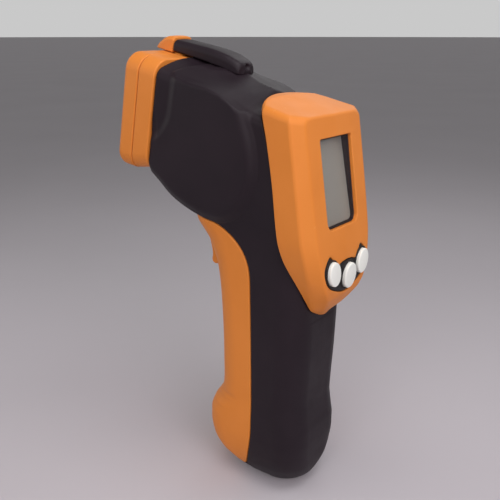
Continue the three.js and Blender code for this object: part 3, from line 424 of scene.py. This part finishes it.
# Each button's place across and up the face, its fan and tip in degrees, and its cap's half-width
# and half-height.
BUTTONS = {"left": (9, -21.6, 18, 8, 3.2, 4.2), "middle": (0, -24.1, 0, 12, 3.6, 4.3),
           "right": (-9, -21.6, -18, 8, 3.2, 4.2)}


def button_frame(spot):
    """The button's own frame in millimetres: +Y is out of its cap."""
    bx, bz, fan, tip = spot[:4]
    face = Matrix.Translation(FACE_CENTRE) @ Matrix.Rotation(FACE_LEAN, 4, "X")
    turn = Matrix.Rotation(math.radians(-tip), 4, "X") @ Matrix.Rotation(math.radians(fan), 4, "Y")
    return face @ Matrix.Translation((bx, 0, bz)) @ turn


def button_axes(spot, x, y, z):
    m = np.array(button_frame(spot).inverted())
    return [m[i, 0] * x + m[i, 1] * y + m[i, 2] * z + m[i, 3] for i in range(3)]


def oval(a, b, w, h):
    reach = np.sqrt((a / w) ** 2 + (b / h) ** 2) + 1e-9
    slope = np.sqrt((a / w**2) ** 2 + (b / h**2) ** 2) / reach + 1e-9
    return (reach - 1) / np.maximum(slope, 0.5 / h)


def button(spot):
    def field(x, y, z):
        a, out, b = button_axes(spot, x, y, z)
        crown = out - 1.6 + 0.25 * ((a / spot[4]) ** 2 + (b / spot[5]) ** 2)
        made = meet(oval(a, b, spot[4], spot[5]), crown, 0.4)
        return meet(made, -1.6 - out, 0.3)
    return field


def keypad(x, y, z):
    fy, fz = face_yz(y, z)
    sheet = meet(KEYPAD(x, fz) + 0.16, housing_outer(x, y, z) + 0.3, 0.45)
    sheet = np.maximum(sheet, -4.4 - fy)
    for spot in BUTTONS.values():
        a, out, b = button_axes(spot, x, y, z)
        ring = oval(a, b, spot[4] + 0.62, spot[5] + 0.62)
        collar = np.maximum(meet(ring, out - 0.35, 0.3), -4.4 - fy)
        sheet = np.minimum(sheet, collar)
    for spot in BUTTONS.values():
        a, out, b = button_axes(spot, x, y, z)
        well = np.maximum(oval(a, b, spot[4] + 0.22, spot[5] + 0.22), -2.6 - out)
        sheet = meet(sheet, -well, 0.15)
    return sheet


def display_housing(x, y, z):
    outer = housing_outer(x, y, z)
    hollow = housing_outer(x, y, z, WALL)
    hollow = np.maximum(hollow, 70 - z)
    made = np.maximum(outer, -hollow)
    made = meet(made, -seam(x, y, z), 0.5)
    made = np.maximum(made, meet(housing_top(x, y, z), -seam(x, y, z), 2.8))
    fy, fz = face_yz(y, z)
    window = np.maximum(WINDOW(x, fz), np.abs(fy) - 5)
    made = meet(made, -window, 0.36)
    return meet(made, -np.maximum(KEYPAD(x, fz), np.abs(fy) - 6), 0.36)


def window_liner(x, y, z):
    """The black frame that lines the display opening and holds the glass."""
    fy, fz = face_yz(y, z)
    d = WINDOW(x, fz)
    return np.maximum(np.maximum(d + 0.08, -(d + 0.36)), np.maximum(fy + 1.1, -5.4 - fy))


def lcd(x, y, z):
    """The display glass, set a little deeper at its top."""
    fy, fz = face_yz(y, z)
    made = meet(WINDOW(x, fz) + 0.5, fy + 2.75 + 0.046 * (fz - 6), 0.25)
    return np.maximum(made, -5.6 - fy)


def nose(x, u, v, inset=0.0):
    bottom = np.where(u < 8, -18.6 - 0.31 * u, -20.8 - 0.045 * u)
    side = 20.85 + 0.004 * v
    r = 6.0 - 0.6 * inset
    made = meet(np.abs(x) - side + inset, v - 18.8 + inset, r)
    return meet(made, bottom - v + inset, r)


def ridge(profile, x, u, v, r):
    """A domed bar along the top of the barrel."""
    side, top = profile.at(u, 0), profile.at(u, 1) - 0.012 * x**2
    made = meet((np.abs(x) - side) * profile.tilt(u, 0), (v - top) * profile.tilt(u, 1), r)
    return np.maximum(made, np.maximum(u - profile.keys[-1], profile.keys[0] - u))


def nose_collar(x, y, z):
    u, v = barrel_uv(y, z)
    made = meet(nose(x, u, v), np.maximum(0.3 - u, u - NOSE_SPLIT), 0.5)
    fin = meet(ridge(FIN, x, u, v, 1.3), 8 - u, 0.4)
    tongue = box_field(x, u, v, (-4.2, 4.4, 17.8), (4.2, 9, 19.25))
    fin = np.maximum(np.minimum(fin, tongue), 18.3 - v)
    under = np.maximum(nose(x, u, v, -0.3), NOSE_SPLIT - u)
    fin = meet(fin, -under, 0.3)
    made = merge(made, fin, 0.7)
    return np.maximum(made, -nose(x, u, v, WALL))


def nose_bezel(x, y, z):
    u, v = barrel_uv(y, z)
    outer = nose(x, u, v)
    made = meet(meet(outer, u - NOSE_FRONT, 2.7), NOSE_SPLIT + 0.3 - u, 0.5)
    made = np.maximum(made, -np.maximum(nose(x, u, v, WALL), u - 12.8))
    return meet(made, -nose(x, u, v, 4.2), 0.7)


def front_plate(x, y, z):
    u, v = barrel_uv(y, z)
    made = meet(nose(x, u, v, WALL + 0.3), np.maximum(10.3 - u, u - 12.5), 0.2)
    lens = np.hypot(x, v - LENS_V)
    dish = np.maximum(lens - 10.2 + 0.7 * (12.5 - u), 11.2 - u)
    made = meet(made, -dish, 0.3)
    made = np.maximum(made, 6.3 - lens)
    ring = meet(np.abs(lens - 11.6) - 0.55, u - 12.95, 0.3)
    made = np.minimum(made, np.maximum(ring, 12 - u))
    laser = np.hypot(x, v - LASER_V)
    collar = meet(np.abs(laser - 3.4) - 0.8, u - 13.1, 0.35)
    made = np.minimum(made, np.maximum(collar, 12 - u))
    return np.maximum(made, 2.6 - laser)


DIMPLE_U, DIMPLE_V, DIMPLE_RADIUS = -21.8, 20.6, 1.2


def top_rail(x, y, z):
    u, v = barrel_uv(y, z)
    made = meet(ridge(RAIL, x, u, v, 1.9), u - RAIL_FRONT, 0.4)
    made = meet(made, -RAIL_UNDER(u, v), 0.5)
    dimple = np.sqrt(x**2 + (v - DIMPLE_V) ** 2 + (u - DIMPLE_U) ** 2) - DIMPLE_RADIUS
    return meet(made, -dimple, 0.3)


# ---- Meshes from fields ----
def sampled(field, low, high, step):
    """The field on a grid, worked out only near its surface; elsewhere the sign is right."""
    cut = 5
    count = np.ceil((high - low) / (step * cut)).astype(int)
    axes = [low[i] + step * cut * np.arange(count[i] + 1) for i in range(3)]
    grid = np.meshgrid(*axes, indexing="ij")
    rough = field(*[g.ravel() for g in grid]).reshape(grid[0].shape)
    least = np.full(count, np.inf)
    for i in (0, 1):
        for j in (0, 1):
            for k in (0, 1):
                corner = rough[i:i + count[0], j:j + count[1], k:k + count[2]]
                least = np.minimum(least, np.abs(corner))
    near = np.argwhere(least < step * cut * 1.8)
    values = rough[:-1, :-1, :-1]
    for axis in range(3):
        values = np.repeat(values, cut, axis)
    values = np.pad(values, [(0, 1)] * 3, mode="edge").astype(np.float32)
    ticks = np.arange(cut + 1)
    local = np.stack(np.meshgrid(ticks, ticks, ticks, indexing="ij"), -1).reshape(-1, 3)
    for start in range(0, len(near), 3000):
        index = (near[start:start + 3000, None] * cut + local[None]).reshape(-1, 3)
        place = low + step * index
        found = field(place[:, 0], place[:, 1], place[:, 2])
        values[index[:, 0], index[:, 1], index[:, 2]] = found
    return values


def net(values, low, step):
    """Surface nets: one vertex in each cell that the surface passes, one quad on each edge."""
    shape = np.array(values.shape) - 1
    inside = values < 0
    cells, spots, quads = [], [], []
    for axis in range(3):
        ahead = [slice(None)] * 3
        behind = [slice(None)] * 3
        ahead[axis], behind[axis] = slice(1, None), slice(None, -1)
        a, b = inside[tuple(behind)], inside[tuple(ahead)]
        edges = np.argwhere(a != b)
        one, two = (axis + 1) % 3, (axis + 2) % 3
        good = (edges[:, one] > 0) & (edges[:, two] > 0)
        good &= (edges[:, one] < shape[one]) & (edges[:, two] < shape[two])
        edges = edges[good]
        far = edges.copy()
        far[:, axis] += 1
        f0, f1 = values[tuple(edges.T)], values[tuple(far.T)]
        point = edges.astype(float)
        point[:, axis] += f0 / (f0 - f1)
        step_one, step_two = np.zeros(3, int), np.zeros(3, int)
        step_one[one], step_two[two] = 1, 1
        ring = [edges - step_one - step_two, edges - step_two, edges, edges - step_one]
        codes = [np.ravel_multi_index(tuple(c.T), tuple(shape)) for c in ring]
        quad = np.stack(codes, 1)
        turned = f0 > 0
        quad[turned] = quad[turned][:, ::-1]
        quads.append(quad)
        for code in codes:
            cells.append(code)
            spots.append(point)
    quads = np.concatenate(quads)
    names, where = np.unique(np.concatenate(cells), return_inverse=True)
    spots = np.concatenate(spots)
    total = np.bincount(where, minlength=len(names))
    centre = np.stack([np.bincount(where, spots[:, i]) for i in range(3)], 1) / total[:, None]
    order = np.searchsorted(names, quads)
    return low + step * centre, order


def gradient(field, p, reach):
    slopes = []
    for i in range(3):
        ahead, back = p.copy(), p.copy()
        ahead[:, i] += reach
        back[:, i] -= reach
        slopes.append((field(*ahead.T) - field(*back.T)) / (2 * reach))
    return np.stack(slopes, 1)


def settled(field, p, step):
    """The points moved onto the surface, and the surface's normals there."""
    reach = step * 0.2
    for _ in range(3):
        slope = gradient(field, p, reach)
        size = np.maximum((slope**2).sum(1), 0.05)
        move = -(field(*p.T) / size)[:, None] * slope
        length = np.maximum(np.linalg.norm(move, axis=1), 1e-9)
        p = p + move * np.minimum(1, 0.6 * step / length)[:, None]
    slope = gradient(field, p, reach)
    return p, slope / np.maximum(np.linalg.norm(slope, axis=1), 1e-9)[:, None]


def parted(side, points, normals, step):
    """The points near the edge of a shell's parting plane, moved onto that edge."""
    near = np.abs(points[:, 0] - side * PARTING) < 0.7 * step
    near &= np.abs(shells(*points.T)) < 0.7 * step
    p = points[near]
    p[:, 0] = side * PARTING
    for _ in range(4):
        slope = gradient(shells, p, 0.1)
        slope[:, 0] = 0
        size = np.maximum((slope**2).sum(1), 0.05)
        p = p - np.clip(shells(*p.T) / size, -0.3, 0.3)[:, None] * slope
    size = np.linalg.norm(slope, axis=1)
    good = (np.abs(shells(*p.T)) < 0.02) & (size > 0.5)
    good &= np.linalg.norm(p - points[near], axis=1) < 1.2 * step
    where = np.flatnonzero(near)[good]
    points[where] = p[good]
    normals[where] = (slope / np.maximum(size, 1e-9)[:, None])[good]
    return points, normals


def mesh_object(name, vertices, faces, normals):
    mesh = bpy.data.meshes.new(name)
    mesh.from_pydata((np.asarray(vertices) * MM).tolist(), [], np.asarray(faces).tolist())
    mesh.validate()
    mesh.polygons.foreach_set("use_smooth", [True] * len(mesh.polygons))
    if len(normals) == len(mesh.vertices):
        mesh.normals_split_custom_set_from_vertices(normals.tolist())
    made = bpy.data.objects.new(name, mesh)
    bpy.context.scene.collection.objects.link(made)
    return made


SEARCH_MARGIN = 1.2


def carve(name, field, node, step, side=0):
    """A mesh of the field's surface, sought in the CAD node's box. A shell half gives its side."""
    step = step * COARSER
    low, high = (np.array(corner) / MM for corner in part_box(node))
    low, high = low - SEARCH_MARGIN - step, high + SEARCH_MARGIN + step
    points, quads = net(sampled(field, low, high, step), low, step)
    points, normals = settled(field, points, step)
    if side:
        points, normals = parted(side, points, normals, step)
    return mesh_object(name, points, quads, normals)


# ---- Meshes from profiles ----
def lathe(name, profile, frame_matrix, segments=64, edge=0.0):
    """A profile of (radius, height) turned about +Z of the frame, in millimetres."""
    mesh = bmesh.new()
    rings = []
    for radius, height in profile:
        if radius < 1e-6:
            rings.append([mesh.verts.new((0, 0, height))])
            continue
        angles = [2 * math.pi * i / segments for i in range(segments)]
        rings.append([mesh.verts.new((radius * math.cos(a), radius * math.sin(a), height))
                      for a in angles])
    for low, high in zip(rings, rings[1:]):
        for i in range(segments):
            j = (i + 1) % segments
            corners = [low[i % len(low)], low[j % len(low)]]
            corners += [high[j % len(high)], high[i % len(high)]]
            corners = list(dict.fromkeys(corners))
            if len(corners) > 2:
                mesh.faces.new(corners)
    bmesh.ops.recalc_face_normals(mesh, faces=mesh.faces)
    mesh.transform(Matrix.Scale(MM, 4) @ frame_matrix)
    data = bpy.data.meshes.new(name)
    mesh.to_mesh(data)
    mesh.free()
    made = bpy.data.objects.new(name, data)
    bpy.context.scene.collection.objects.link(made)
    for polygon in data.polygons:
        polygon.use_smooth = True
    if edge:
        rounded(made, edge)
    return made


def rounded(made, width, segments=3, angle=30):
    """Bevels the mesh's sharp edges, applied at once."""
    bevel = made.modifiers.new("edges", "BEVEL")
    bevel.width = width * MM
    bevel.segments = segments
    bevel.limit_method = "ANGLE"
    bevel.angle_limit = math.radians(angle)
    bevel.harden_normals = True
    applied(made)


def applied(made):
    graph = bpy.context.evaluated_depsgraph_get()
    data = bpy.data.meshes.new_from_object(made.evaluated_get(graph))
    made.modifiers.clear()
    made.data = data


def axis_frame(origin, axis):
    """A frame at origin whose +Z is the axis."""
    turn = Vector((0, 0, 1)).rotation_difference(Vector(axis)).to_matrix().to_4x4()
    return Matrix.Translation(origin) @ turn


def barrel_frame(x, u, v):
    """A frame on the barrel whose +Z is forward."""
    return axis_frame(from_barrel(x, u, v), (0, -math.cos(PITCH), math.sin(PITCH)))


# ---- Materials ----
def linear(rgb):
    return tuple(v / 12.92 if v <= 0.04045 else ((v + 0.055) / 1.055) ** 2.4
                 for v in (c / 255 for c in rgb)) + (1.0,)


class Finish:
    """A node material, built from a few procedural layers."""

    def __init__(self, name, rough=0.5, **sockets):
        self.material = bpy.data.materials.new(name)
        self.material.use_nodes = True
        self.tree = self.material.node_tree
        self.shader = self.tree.nodes["Principled BSDF"]
        self.shader.inputs["Roughness"].default_value = rough
        for key, value in sockets.items():
            self.shader.inputs[key.replace("_", " ")].default_value = value
        place = self.tree.nodes.new("ShaderNodeTexCoord")
        self.place = place.outputs["Object"]

    def node(self, kind, inputs=(), **settings):
        made = self.tree.nodes.new(kind)
        for key, value in settings.items():
            setattr(made, key, value)
        for key, value in dict(inputs).items():
            if isinstance(value, bpy.types.NodeSocket):
                self.tree.links.new(value, made.inputs[key])
            else:
                made.inputs[key].default_value = value
        return made

    def noise(self, size_mm, detail=3.0, rough=0.5):
        made = self.node("ShaderNodeTexNoise", {
            "Vector": self.place, "Scale": 1000 / size_mm, "Detail": detail, "Roughness": rough})
        return made.outputs["Fac"]

    def band(self, value, low, high, out_low=0.0, out_high=1.0):
        return self.node("ShaderNodeMapRange", {
            "Value": value, "From Min": low, "From Max": high, "To Min": out_low,
            "To Max": out_high}, clamp=True).outputs["Result"]

    def mixed(self, factor, a, b):
        made = self.tree.nodes.new("ShaderNodeMix")
        made.data_type = "RGBA"
        for socket, value in ((0, factor), (6, a), (7, b)):
            if isinstance(value, bpy.types.NodeSocket):
                self.tree.links.new(value, made.inputs[socket])
            else:
                made.inputs[socket].default_value = value
        return made.outputs[2]

    def maths(self, operation, a, b=0.0):
        return self.node("ShaderNodeMath", {0: a, 1: b}, operation=operation).outputs[0]

    def send(self, key, value):
        self.tree.links.new(value, self.shader.inputs[key])

    def bump(self, height, strength, depth_mm):
        made = self.node("ShaderNodeBump", {
            "Height": height, "Strength": strength, "Distance": depth_mm * MM})
        self.send("Normal", made.outputs["Normal"])


def moulded(name, rgb, low, high, rough, grain_mm=0.28, grain=0.25, wear=0.0, worn=None, **more):
    """Injection-moulded plastic: slow colour drift, fine grain, and paler worn edges."""
    made = Finish(name, rough, **more)
    drift = made.noise(22, 3)
    base = made.mixed(made.band(drift, 0.3, 0.7), linear(low), linear(high))
    speckle = made.noise(1.1, 4, 0.7)
    base = made.mixed(made.band(speckle, 0.35, 0.75, 0.0, 0.18), base, linear(rgb))
    if wear:
        sharp = made.node("ShaderNodeNewGeometry").outputs["Pointiness"]
        edge = made.band(sharp, 0.52, 0.60)
        rub = made.band(made.noise(6, 5, 0.65), 0.42, 0.62)
        base = made.mixed(made.maths("MULTIPLY", made.maths("MULTIPLY", edge, rub), wear),
                          base, linear(worn))
    made.send("Base Color", base)
    smear = made.noise(9, 4, 0.6)
    made.send("Roughness", made.band(smear, 0.3, 0.7, rough - 0.05, rough + 0.06))
    fine = made.noise(grain_mm, 2, 0.6)
    made.bump(fine, grain, 0.05)
    return made.material


def simple(name, low, high, size_mm, rough, grain=0.1, grain_mm=0.3, **more):
    """Two close colours mixed by noise, with roughness and bump from noise too."""
    made = Finish(name, rough, **more)
    tone = made.noise(size_mm, 4, 0.55)
    made.send("Base Color", made.mixed(made.band(tone, 0.3, 0.7), linear(low), linear(high)))
    made.send("Roughness", made.band(tone, 0.3, 0.7, max(rough - 0.04, 0.02), rough + 0.05))
    made.bump(made.noise(grain_mm, 2, 0.6), grain, 0.04)
    return made.material


MATERIALS = {
    "black_shell": moulded("black_shell", (35, 25, 32), (29, 20, 27), (35, 25, 32), 0.5,
                           0.3, 0.3, 0.16, (62, 54, 60), Specular_IOR_Level=0.24),
    "orange_shell": moulded("orange_shell", (225, 136, 58), (216, 128, 50), (224, 135, 57), 0.47,
                            0.3, 0.16, 0.2, (236, 172, 108), Specular_IOR_Level=0.22),
    "button_white": moulded("button_white", (240, 243, 236), (235, 238, 230), (240, 242, 235), 0.42,
                            0.3, 0.08),
    "black_rubber": simple("black_rubber", (20, 18, 19), (28, 25, 26), 3, 0.62, 0.35, 0.18),
    "black_plastic": simple("black_plastic", (24, 23, 24), (32, 30, 31), 8, 0.5, 0.2, 0.25),
    "lcd_glass": simple("lcd_glass", (145, 143, 135), (148, 146, 138), 45, 0.3, 0.02, 0.5),
    "steel": simple("steel", (168, 169, 171), (196, 197, 198), 1.2, 0.3, 0.12, 0.12, Metallic=1.0),
    "cast_weight": simple("cast_weight", (62, 61, 62), (88, 86, 85), 2.5, 0.62, 0.5, 0.5,
                          Metallic=1.0),
    "laser_barrel": simple("laser_barrel", (186, 150, 88), (207, 172, 106), 1.5, 0.3, 0.1, 0.15,
                           Metallic=1.0),
    "board_green": simple("board_green", (22, 74, 42), (34, 96, 58), 2.2, 0.4, 0.2, 0.4),
    "natural_plastic": simple("natural_plastic", (204, 200, 188), (222, 218, 207), 5, 0.45),
    "wire_red": simple("wire_red", (160, 28, 24), (184, 40, 32), 2, 0.4),
    "wire_black": simple("wire_black", (22, 22, 22), (31, 31, 31), 2, 0.4),
}


def clear_material(name, rgb, alpha, rough, detail_mm):
    made = Finish(name, rough, IOR=1.45, Alpha=alpha)
    tone = made.noise(detail_mm, 3)
    made.send("Base Color", made.mixed(made.band(tone, 0.3, 0.7), linear(rgb),
                                       linear([min(c + 8, 255) for c in rgb])))
    made.send("Roughness", made.band(tone, 0.3, 0.7, rough, rough + 0.05))
    return made.material


def cell_material():
    """A battery's printed film: three plain colour bands and a bare metal end, with no print."""
    made = Finish("cell_jacket", 0.28)
    split = made.node("ShaderNodeSeparateXYZ", {"Vector": made.place}).outputs["Z"]
    tone = made.noise(7, 3)
    blue = made.mixed(made.band(tone, 0.3, 0.7), linear((40, 84, 132)), linear((52, 98, 148)))
    gold = made.mixed(made.band(tone, 0.3, 0.7), linear((186, 158, 104)), linear((200, 174, 120)))
    high = made.band(split, 0.0500, 0.0502)
    low = made.band(split, 0.0210, 0.0208)
    body = made.mixed(high, blue, gold)
    body = made.mixed(low, body, linear((58, 58, 60)))
    made.send("Base Color", body)
    made.send("Roughness", made.band(tone, 0.3, 0.7, 0.24, 0.34))
    made.bump(made.noise(0.6, 2), 0.05, 0.03)
    return made.material


MATERIALS["cell_jacket"] = cell_material()
MATERIALS["clear_window"] = clear_material("clear_window", (120, 118, 116), 0.05, 0.05, 8)
MATERIALS["ir_lens_glass"] = simple("ir_lens_glass", (96, 104, 118), (116, 122, 138), 3, 0.1,
                                    0.02, 0.5, Metallic=0.85)

# ---- Every CAD node gets its slot's finish, and most are replaced by a piece below ----
SLOTS = {row["node"]: row["material_slot"] for row in frame["record"]["subparts"]}
for node_name, node in frame["nodes"].items():
    node.data.materials.clear()
    node.data.materials.append(MATERIALS[SLOTS[node_name]])


def add(made, body, nodes, material=None):
    """Puts a finished piece on its body in place of its CAD nodes."""
    slot = SLOTS[nodes[0]]
    made.data.materials.clear()
    made.data.materials.append(material or MATERIALS[slot])
    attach(made, body)
    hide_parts(*nodes)
    return made


# ---- Pieces ----
for side, label in ((1, "left"), (-1, "right")):
    node_name = "shell_" + label
    made = carve(node_name + "_moulding", shell_half(side), node_name, 0.5, side)
    add(made, "body", [node_name])
CARVED = [
    ("battery_door_moulding", battery_door, "battery_door", 0.42, "battery_door"),
    ("display_housing_moulding", display_housing, "display_housing", 0.32, "body"),
    ("nose_collar_moulding", nose_collar, "nose_collar", 0.4, "body"),
    ("nose_bezel_moulding", nose_bezel, "nose_bezel", 0.4, "body"),
    ("front_plate_moulding", front_plate, "front_plate", 0.28, "body"),
    ("top_rail_moulding", top_rail, "top_rail", 0.32, "body"),
    ("trigger_lever", trigger, "trigger", 0.32, "trigger"),
    ("keypad_rubber", keypad, "keypad_mat", 0.2, "body"),
    ("display_frame", window_liner, "lcd_bezel", 0.2, "body"),
    ("display_glass", lcd, "lcd_panel", 0.3, "body"),
]
for piece_name, field, node_name, step, body in CARVED:
    add(carve(piece_name, field, node_name, step), body, [node_name])
for label, spot in BUTTONS.items():
    node_name = "button_" + label
    add(carve(node_name + "_cap", button(spot), node_name, 0.2), node_name, [node_name])

lens = barrel_frame(0, 0, LENS_V)
add(lathe("lens_trim_ring", [(6.3, 12.8), (8.6, 12.8), (8.6, 14), (8.3, 14.5), (7.9, 14.8),
                             (7.3, 14.8), (6.9, 14.2), (6.5, 13.4), (6.3, 12.8)], lens, 96),
    "body", ["lens_ring"])
add(lathe("infrared_lens", [(0, 8.95), (1.5, 8.9), (3, 8.65), (4.5, 8.2), (5.7, 7.7), (6.3, 7.4),
                            (6.3, 5.6), (0, 5.6)], lens, 72, 0.12), "body", ["ir_lens"])
for screw, (sy, sz, head) in SCREWS.items():
    turned = axis_frame((head, sy, sz), (-1, 0, 0))
    low = -16.2
    profile = [(0, 0.35), (0.75, 0.35), (0.8, 0.9), (2.1, 0.9), (2.42, 0.7), (2.5, 0.4),
               (2.5, -0.9), (1.3, -0.9)]
    for i in range(26):
        profile += [(1.3, -1.2 - 0.57 * i), (1.02, -1.48 - 0.57 * i)]
    add(lathe(screw + "_turned", profile + [(0.5, low - 0.6), (0, low - 0.8)], turned, 32), "body",
        [screw])

# ---- Inner and small pieces: their CAD shapes with the sharp edges broken ----
def softened(node_name, width):
    mesh = bmesh.new()
    mesh.from_mesh(frame["nodes"][node_name].data)
    bmesh.ops.remove_doubles(mesh, verts=mesh.verts, dist=1e-6)
    bmesh.ops.dissolve_limit(mesh, angle_limit=math.radians(1), verts=mesh.verts, edges=mesh.edges)
    data = bpy.data.meshes.new(node_name)
    mesh.to_mesh(data)
    mesh.free()
    made = bpy.data.objects.new(node_name + "_finished", data)
    bpy.context.scene.collection.objects.link(made)
    for polygon in data.polygons:
        polygon.use_smooth = True
    rounded(made, width, 2, 32)
    return made


BODY_OF = {name: body for body, names in frame["record"]["behaviour"]["bodies"].items()
           for name in names}
EDGE_WIDTHS = {"battery_tray": 0.25, "sole_pad": 0.45, "heel_weight": 0.5, "display_window": 0.2,
               "lcd_backlight": 0.3, "optical_tube": 0.2, "switch_plunger": 0.15,
               "trigger_switch": 0.2, "buzzer": 0.3, "thermopile_sensor": 0.2, "laser_module": 0.2,
               "laser_lens": 0.2, "door_hinge_pin": 0.2, "trigger_pin": 0.25}
EDGE_WIDTHS |= {"key_switch_" + label: 0.2 for label in BUTTONS}
for node_name, width in EDGE_WIDTHS.items():
    add(softened(node_name, width), BODY_OF[node_name], [node_name])


def dry_cell(name, base, rise):
    """An AAA cell that stands on base, with its raised end up when rise is 1, down when -1."""
    axis = axis_frame(base, (0, 0, rise))
    return lathe(name, [(0, 0), (3.6, 0), (3.9, 0.25), (4.7, 0.25), (5.0, 0.5), (5.12, 0.9),
                        (5.12, 42.3), (4.95, 42.8), (4.5, 43), (4.0, 42.9), (3.7, 43.1),
                        (2.1, 43.2), (1.95, 43.5), (1.9, 44.2), (1.65, 44.44), (0, 44.46)],
                 axis, 72)


def coil(name, low, high, wide, narrow, turns, wire):
    """A cone-shaped contact spring between two points on the same upright line."""
    steps = 28 * turns
    spine = bpy.data.curves.new(name, "CURVE")
    spine.dimensions = "3D"
    spine.bevel_depth = wire * MM
    spine.bevel_resolution = 3
    run = spine.splines.new("POLY")
    run.points.add(steps)
    for i, point in enumerate(run.points):
        t = i / steps
        radius = wide + (narrow - wide) * t
        angle = 2 * math.pi * turns * t
        spot = Vector(low).lerp(Vector(high), t)
        spot += Vector((radius * math.cos(angle), radius * math.sin(angle), 0))
        point.co = (*(spot * MM), 1)
    made = bpy.data.objects.new(name, spine)
    bpy.context.scene.collection.objects.link(made)
    graph = bpy.context.evaluated_depsgraph_get()
    data = bpy.data.meshes.new_from_object(made.evaluated_get(graph))
    bpy.data.objects.remove(made)
    solid = bpy.data.objects.new(name, data)
    bpy.context.scene.collection.objects.link(solid)
    for polygon in data.polygons:
        polygon.use_smooth = True
    return solid


def middle(node_name):
    low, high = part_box(node_name)
    return (low + high) / 2 / MM


for label, rise in (("left", 1), ("right", -1)):
    low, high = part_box("battery_" + label)
    centre = middle("battery_" + label)
    base = (centre.x, centre.y, (low.z if rise > 0 else high.z) / MM)
    add(dry_cell("battery_" + label + "_cell", base, rise), "body", ["battery_" + label])
    spring = "battery_spring_" + label
    low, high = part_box(spring)
    centre = middle(spring)
    ends = [(centre.x, centre.y, z / MM) for z in (low.z, high.z)]
    ends = [(x, y, z + inward) for (x, y, z), inward in zip(ends, (0.3, -0.3))]
    if label == "left":
        made = coil(spring + "_coil", ends[0], ends[1], 3.3, 2, 3, 0.3)
    else:
        made = coil(spring + "_coil", ends[1], ends[0], 3.3, 2, 2, 0.3)
    add(made, "body", [spring])

# ---- Stage, light and camera ----
FLOOR_RADIUS = 17
FLOOR_SIDES = 95
floor_mesh = bpy.data.meshes.new("studio_floor")
ring = [(FLOOR_RADIUS * math.cos(a), FLOOR_RADIUS * math.sin(a), 0)
        for a in np.linspace(0, 2 * math.pi, FLOOR_SIDES + 1)[:-1]]
floor_mesh.from_pydata(ring, [], [list(range(FLOOR_SIDES))])
floor = bpy.data.objects.new("studio_floor", floor_mesh)
bpy.context.scene.collection.objects.link(floor)
ground = Finish("studio_floor", 0.85)
tone = ground.node("ShaderNodeTexNoise", {"Vector": ground.place, "Scale": 6.0, "Detail": 3.0})
ground.send("Base Color", ground.mixed(
    ground.band(tone.outputs["Fac"], 0.3, 0.7), (0.572, 0.535, 0.567, 1), (0.594, 0.557, 0.589, 1)))
floor_mesh.materials.append(ground.material)

world = bpy.data.worlds.new("studio")
bpy.context.scene.world = world
world.use_nodes = True
sky = world.node_tree
heading = sky.nodes.new("ShaderNodeTexCoord")
height = sky.nodes.new("ShaderNodeSeparateXYZ")
fade = sky.nodes.new("ShaderNodeMapRange")
fade.interpolation_type = "SMOOTHSTEP"
for key, value in (("From Min", 0.5), ("From Max", 0.75), ("To Min", 0.585), ("To Max", 0.02)):
    fade.inputs[key].default_value = value
sky.links.new(heading.outputs["Generated"], height.inputs[0])
sky.links.new(height.outputs["Z"], fade.inputs["Value"])
sky.links.new(fade.outputs["Result"], sky.nodes["Background"].inputs["Color"])


def lamp(name, place, target, size, power, colour=(1, 1, 1)):
    data = bpy.data.lights.new(name, "AREA")
    data.shape = "DISK"
    data.size = size
    data.energy = power
    data.color = colour
    made = bpy.data.objects.new(name, data)
    made.location = place
    aim = Vector(target) - Vector(place)
    made.rotation_euler = aim.to_track_quat("-Z", "Y").to_euler()
    bpy.context.scene.collection.objects.link(made)
    return made


AIM = (0, 0, 0.08)
lamp("key", (0.22, 0.36, 0.30), AIM, 0.25, 0.66, (1.0, 0.89, 0.96))
lamp("side", (0.40, 0.12, 0.30), AIM, 0.25, 0.38, (1.0, 0.95, 0.96))
lamp("overhead", (0.069, 0.040, 0.38), AIM, 0.25, 0.36)
lamp("display", (-0.02, 0.20, 0.42), AIM, 0.25, 0.35)
lamp("nose", (0.16, -0.38, 0.20), AIM, 0.25, 0.17)
lamp("far", (-0.35, -0.10, 0.40), AIM, 0.25, 0.18)

bpy.context.scene.view_settings.view_transform = "Standard"
camera_data = bpy.data.cameras.new("camera")
camera_data.lens = 50
camera_data.sensor_width = 36
camera_data.clip_start = 0.01
camera_data.clip_end = 100
camera = bpy.data.objects.new("camera", camera_data)
camera.location = (0.1887, 0.1300, 0.1587)
camera.rotation_euler = (math.radians(90 - 17.59), 0, math.radians(126.97))
bpy.context.scene.collection.objects.link(camera)
bpy.context.scene.camera = camera
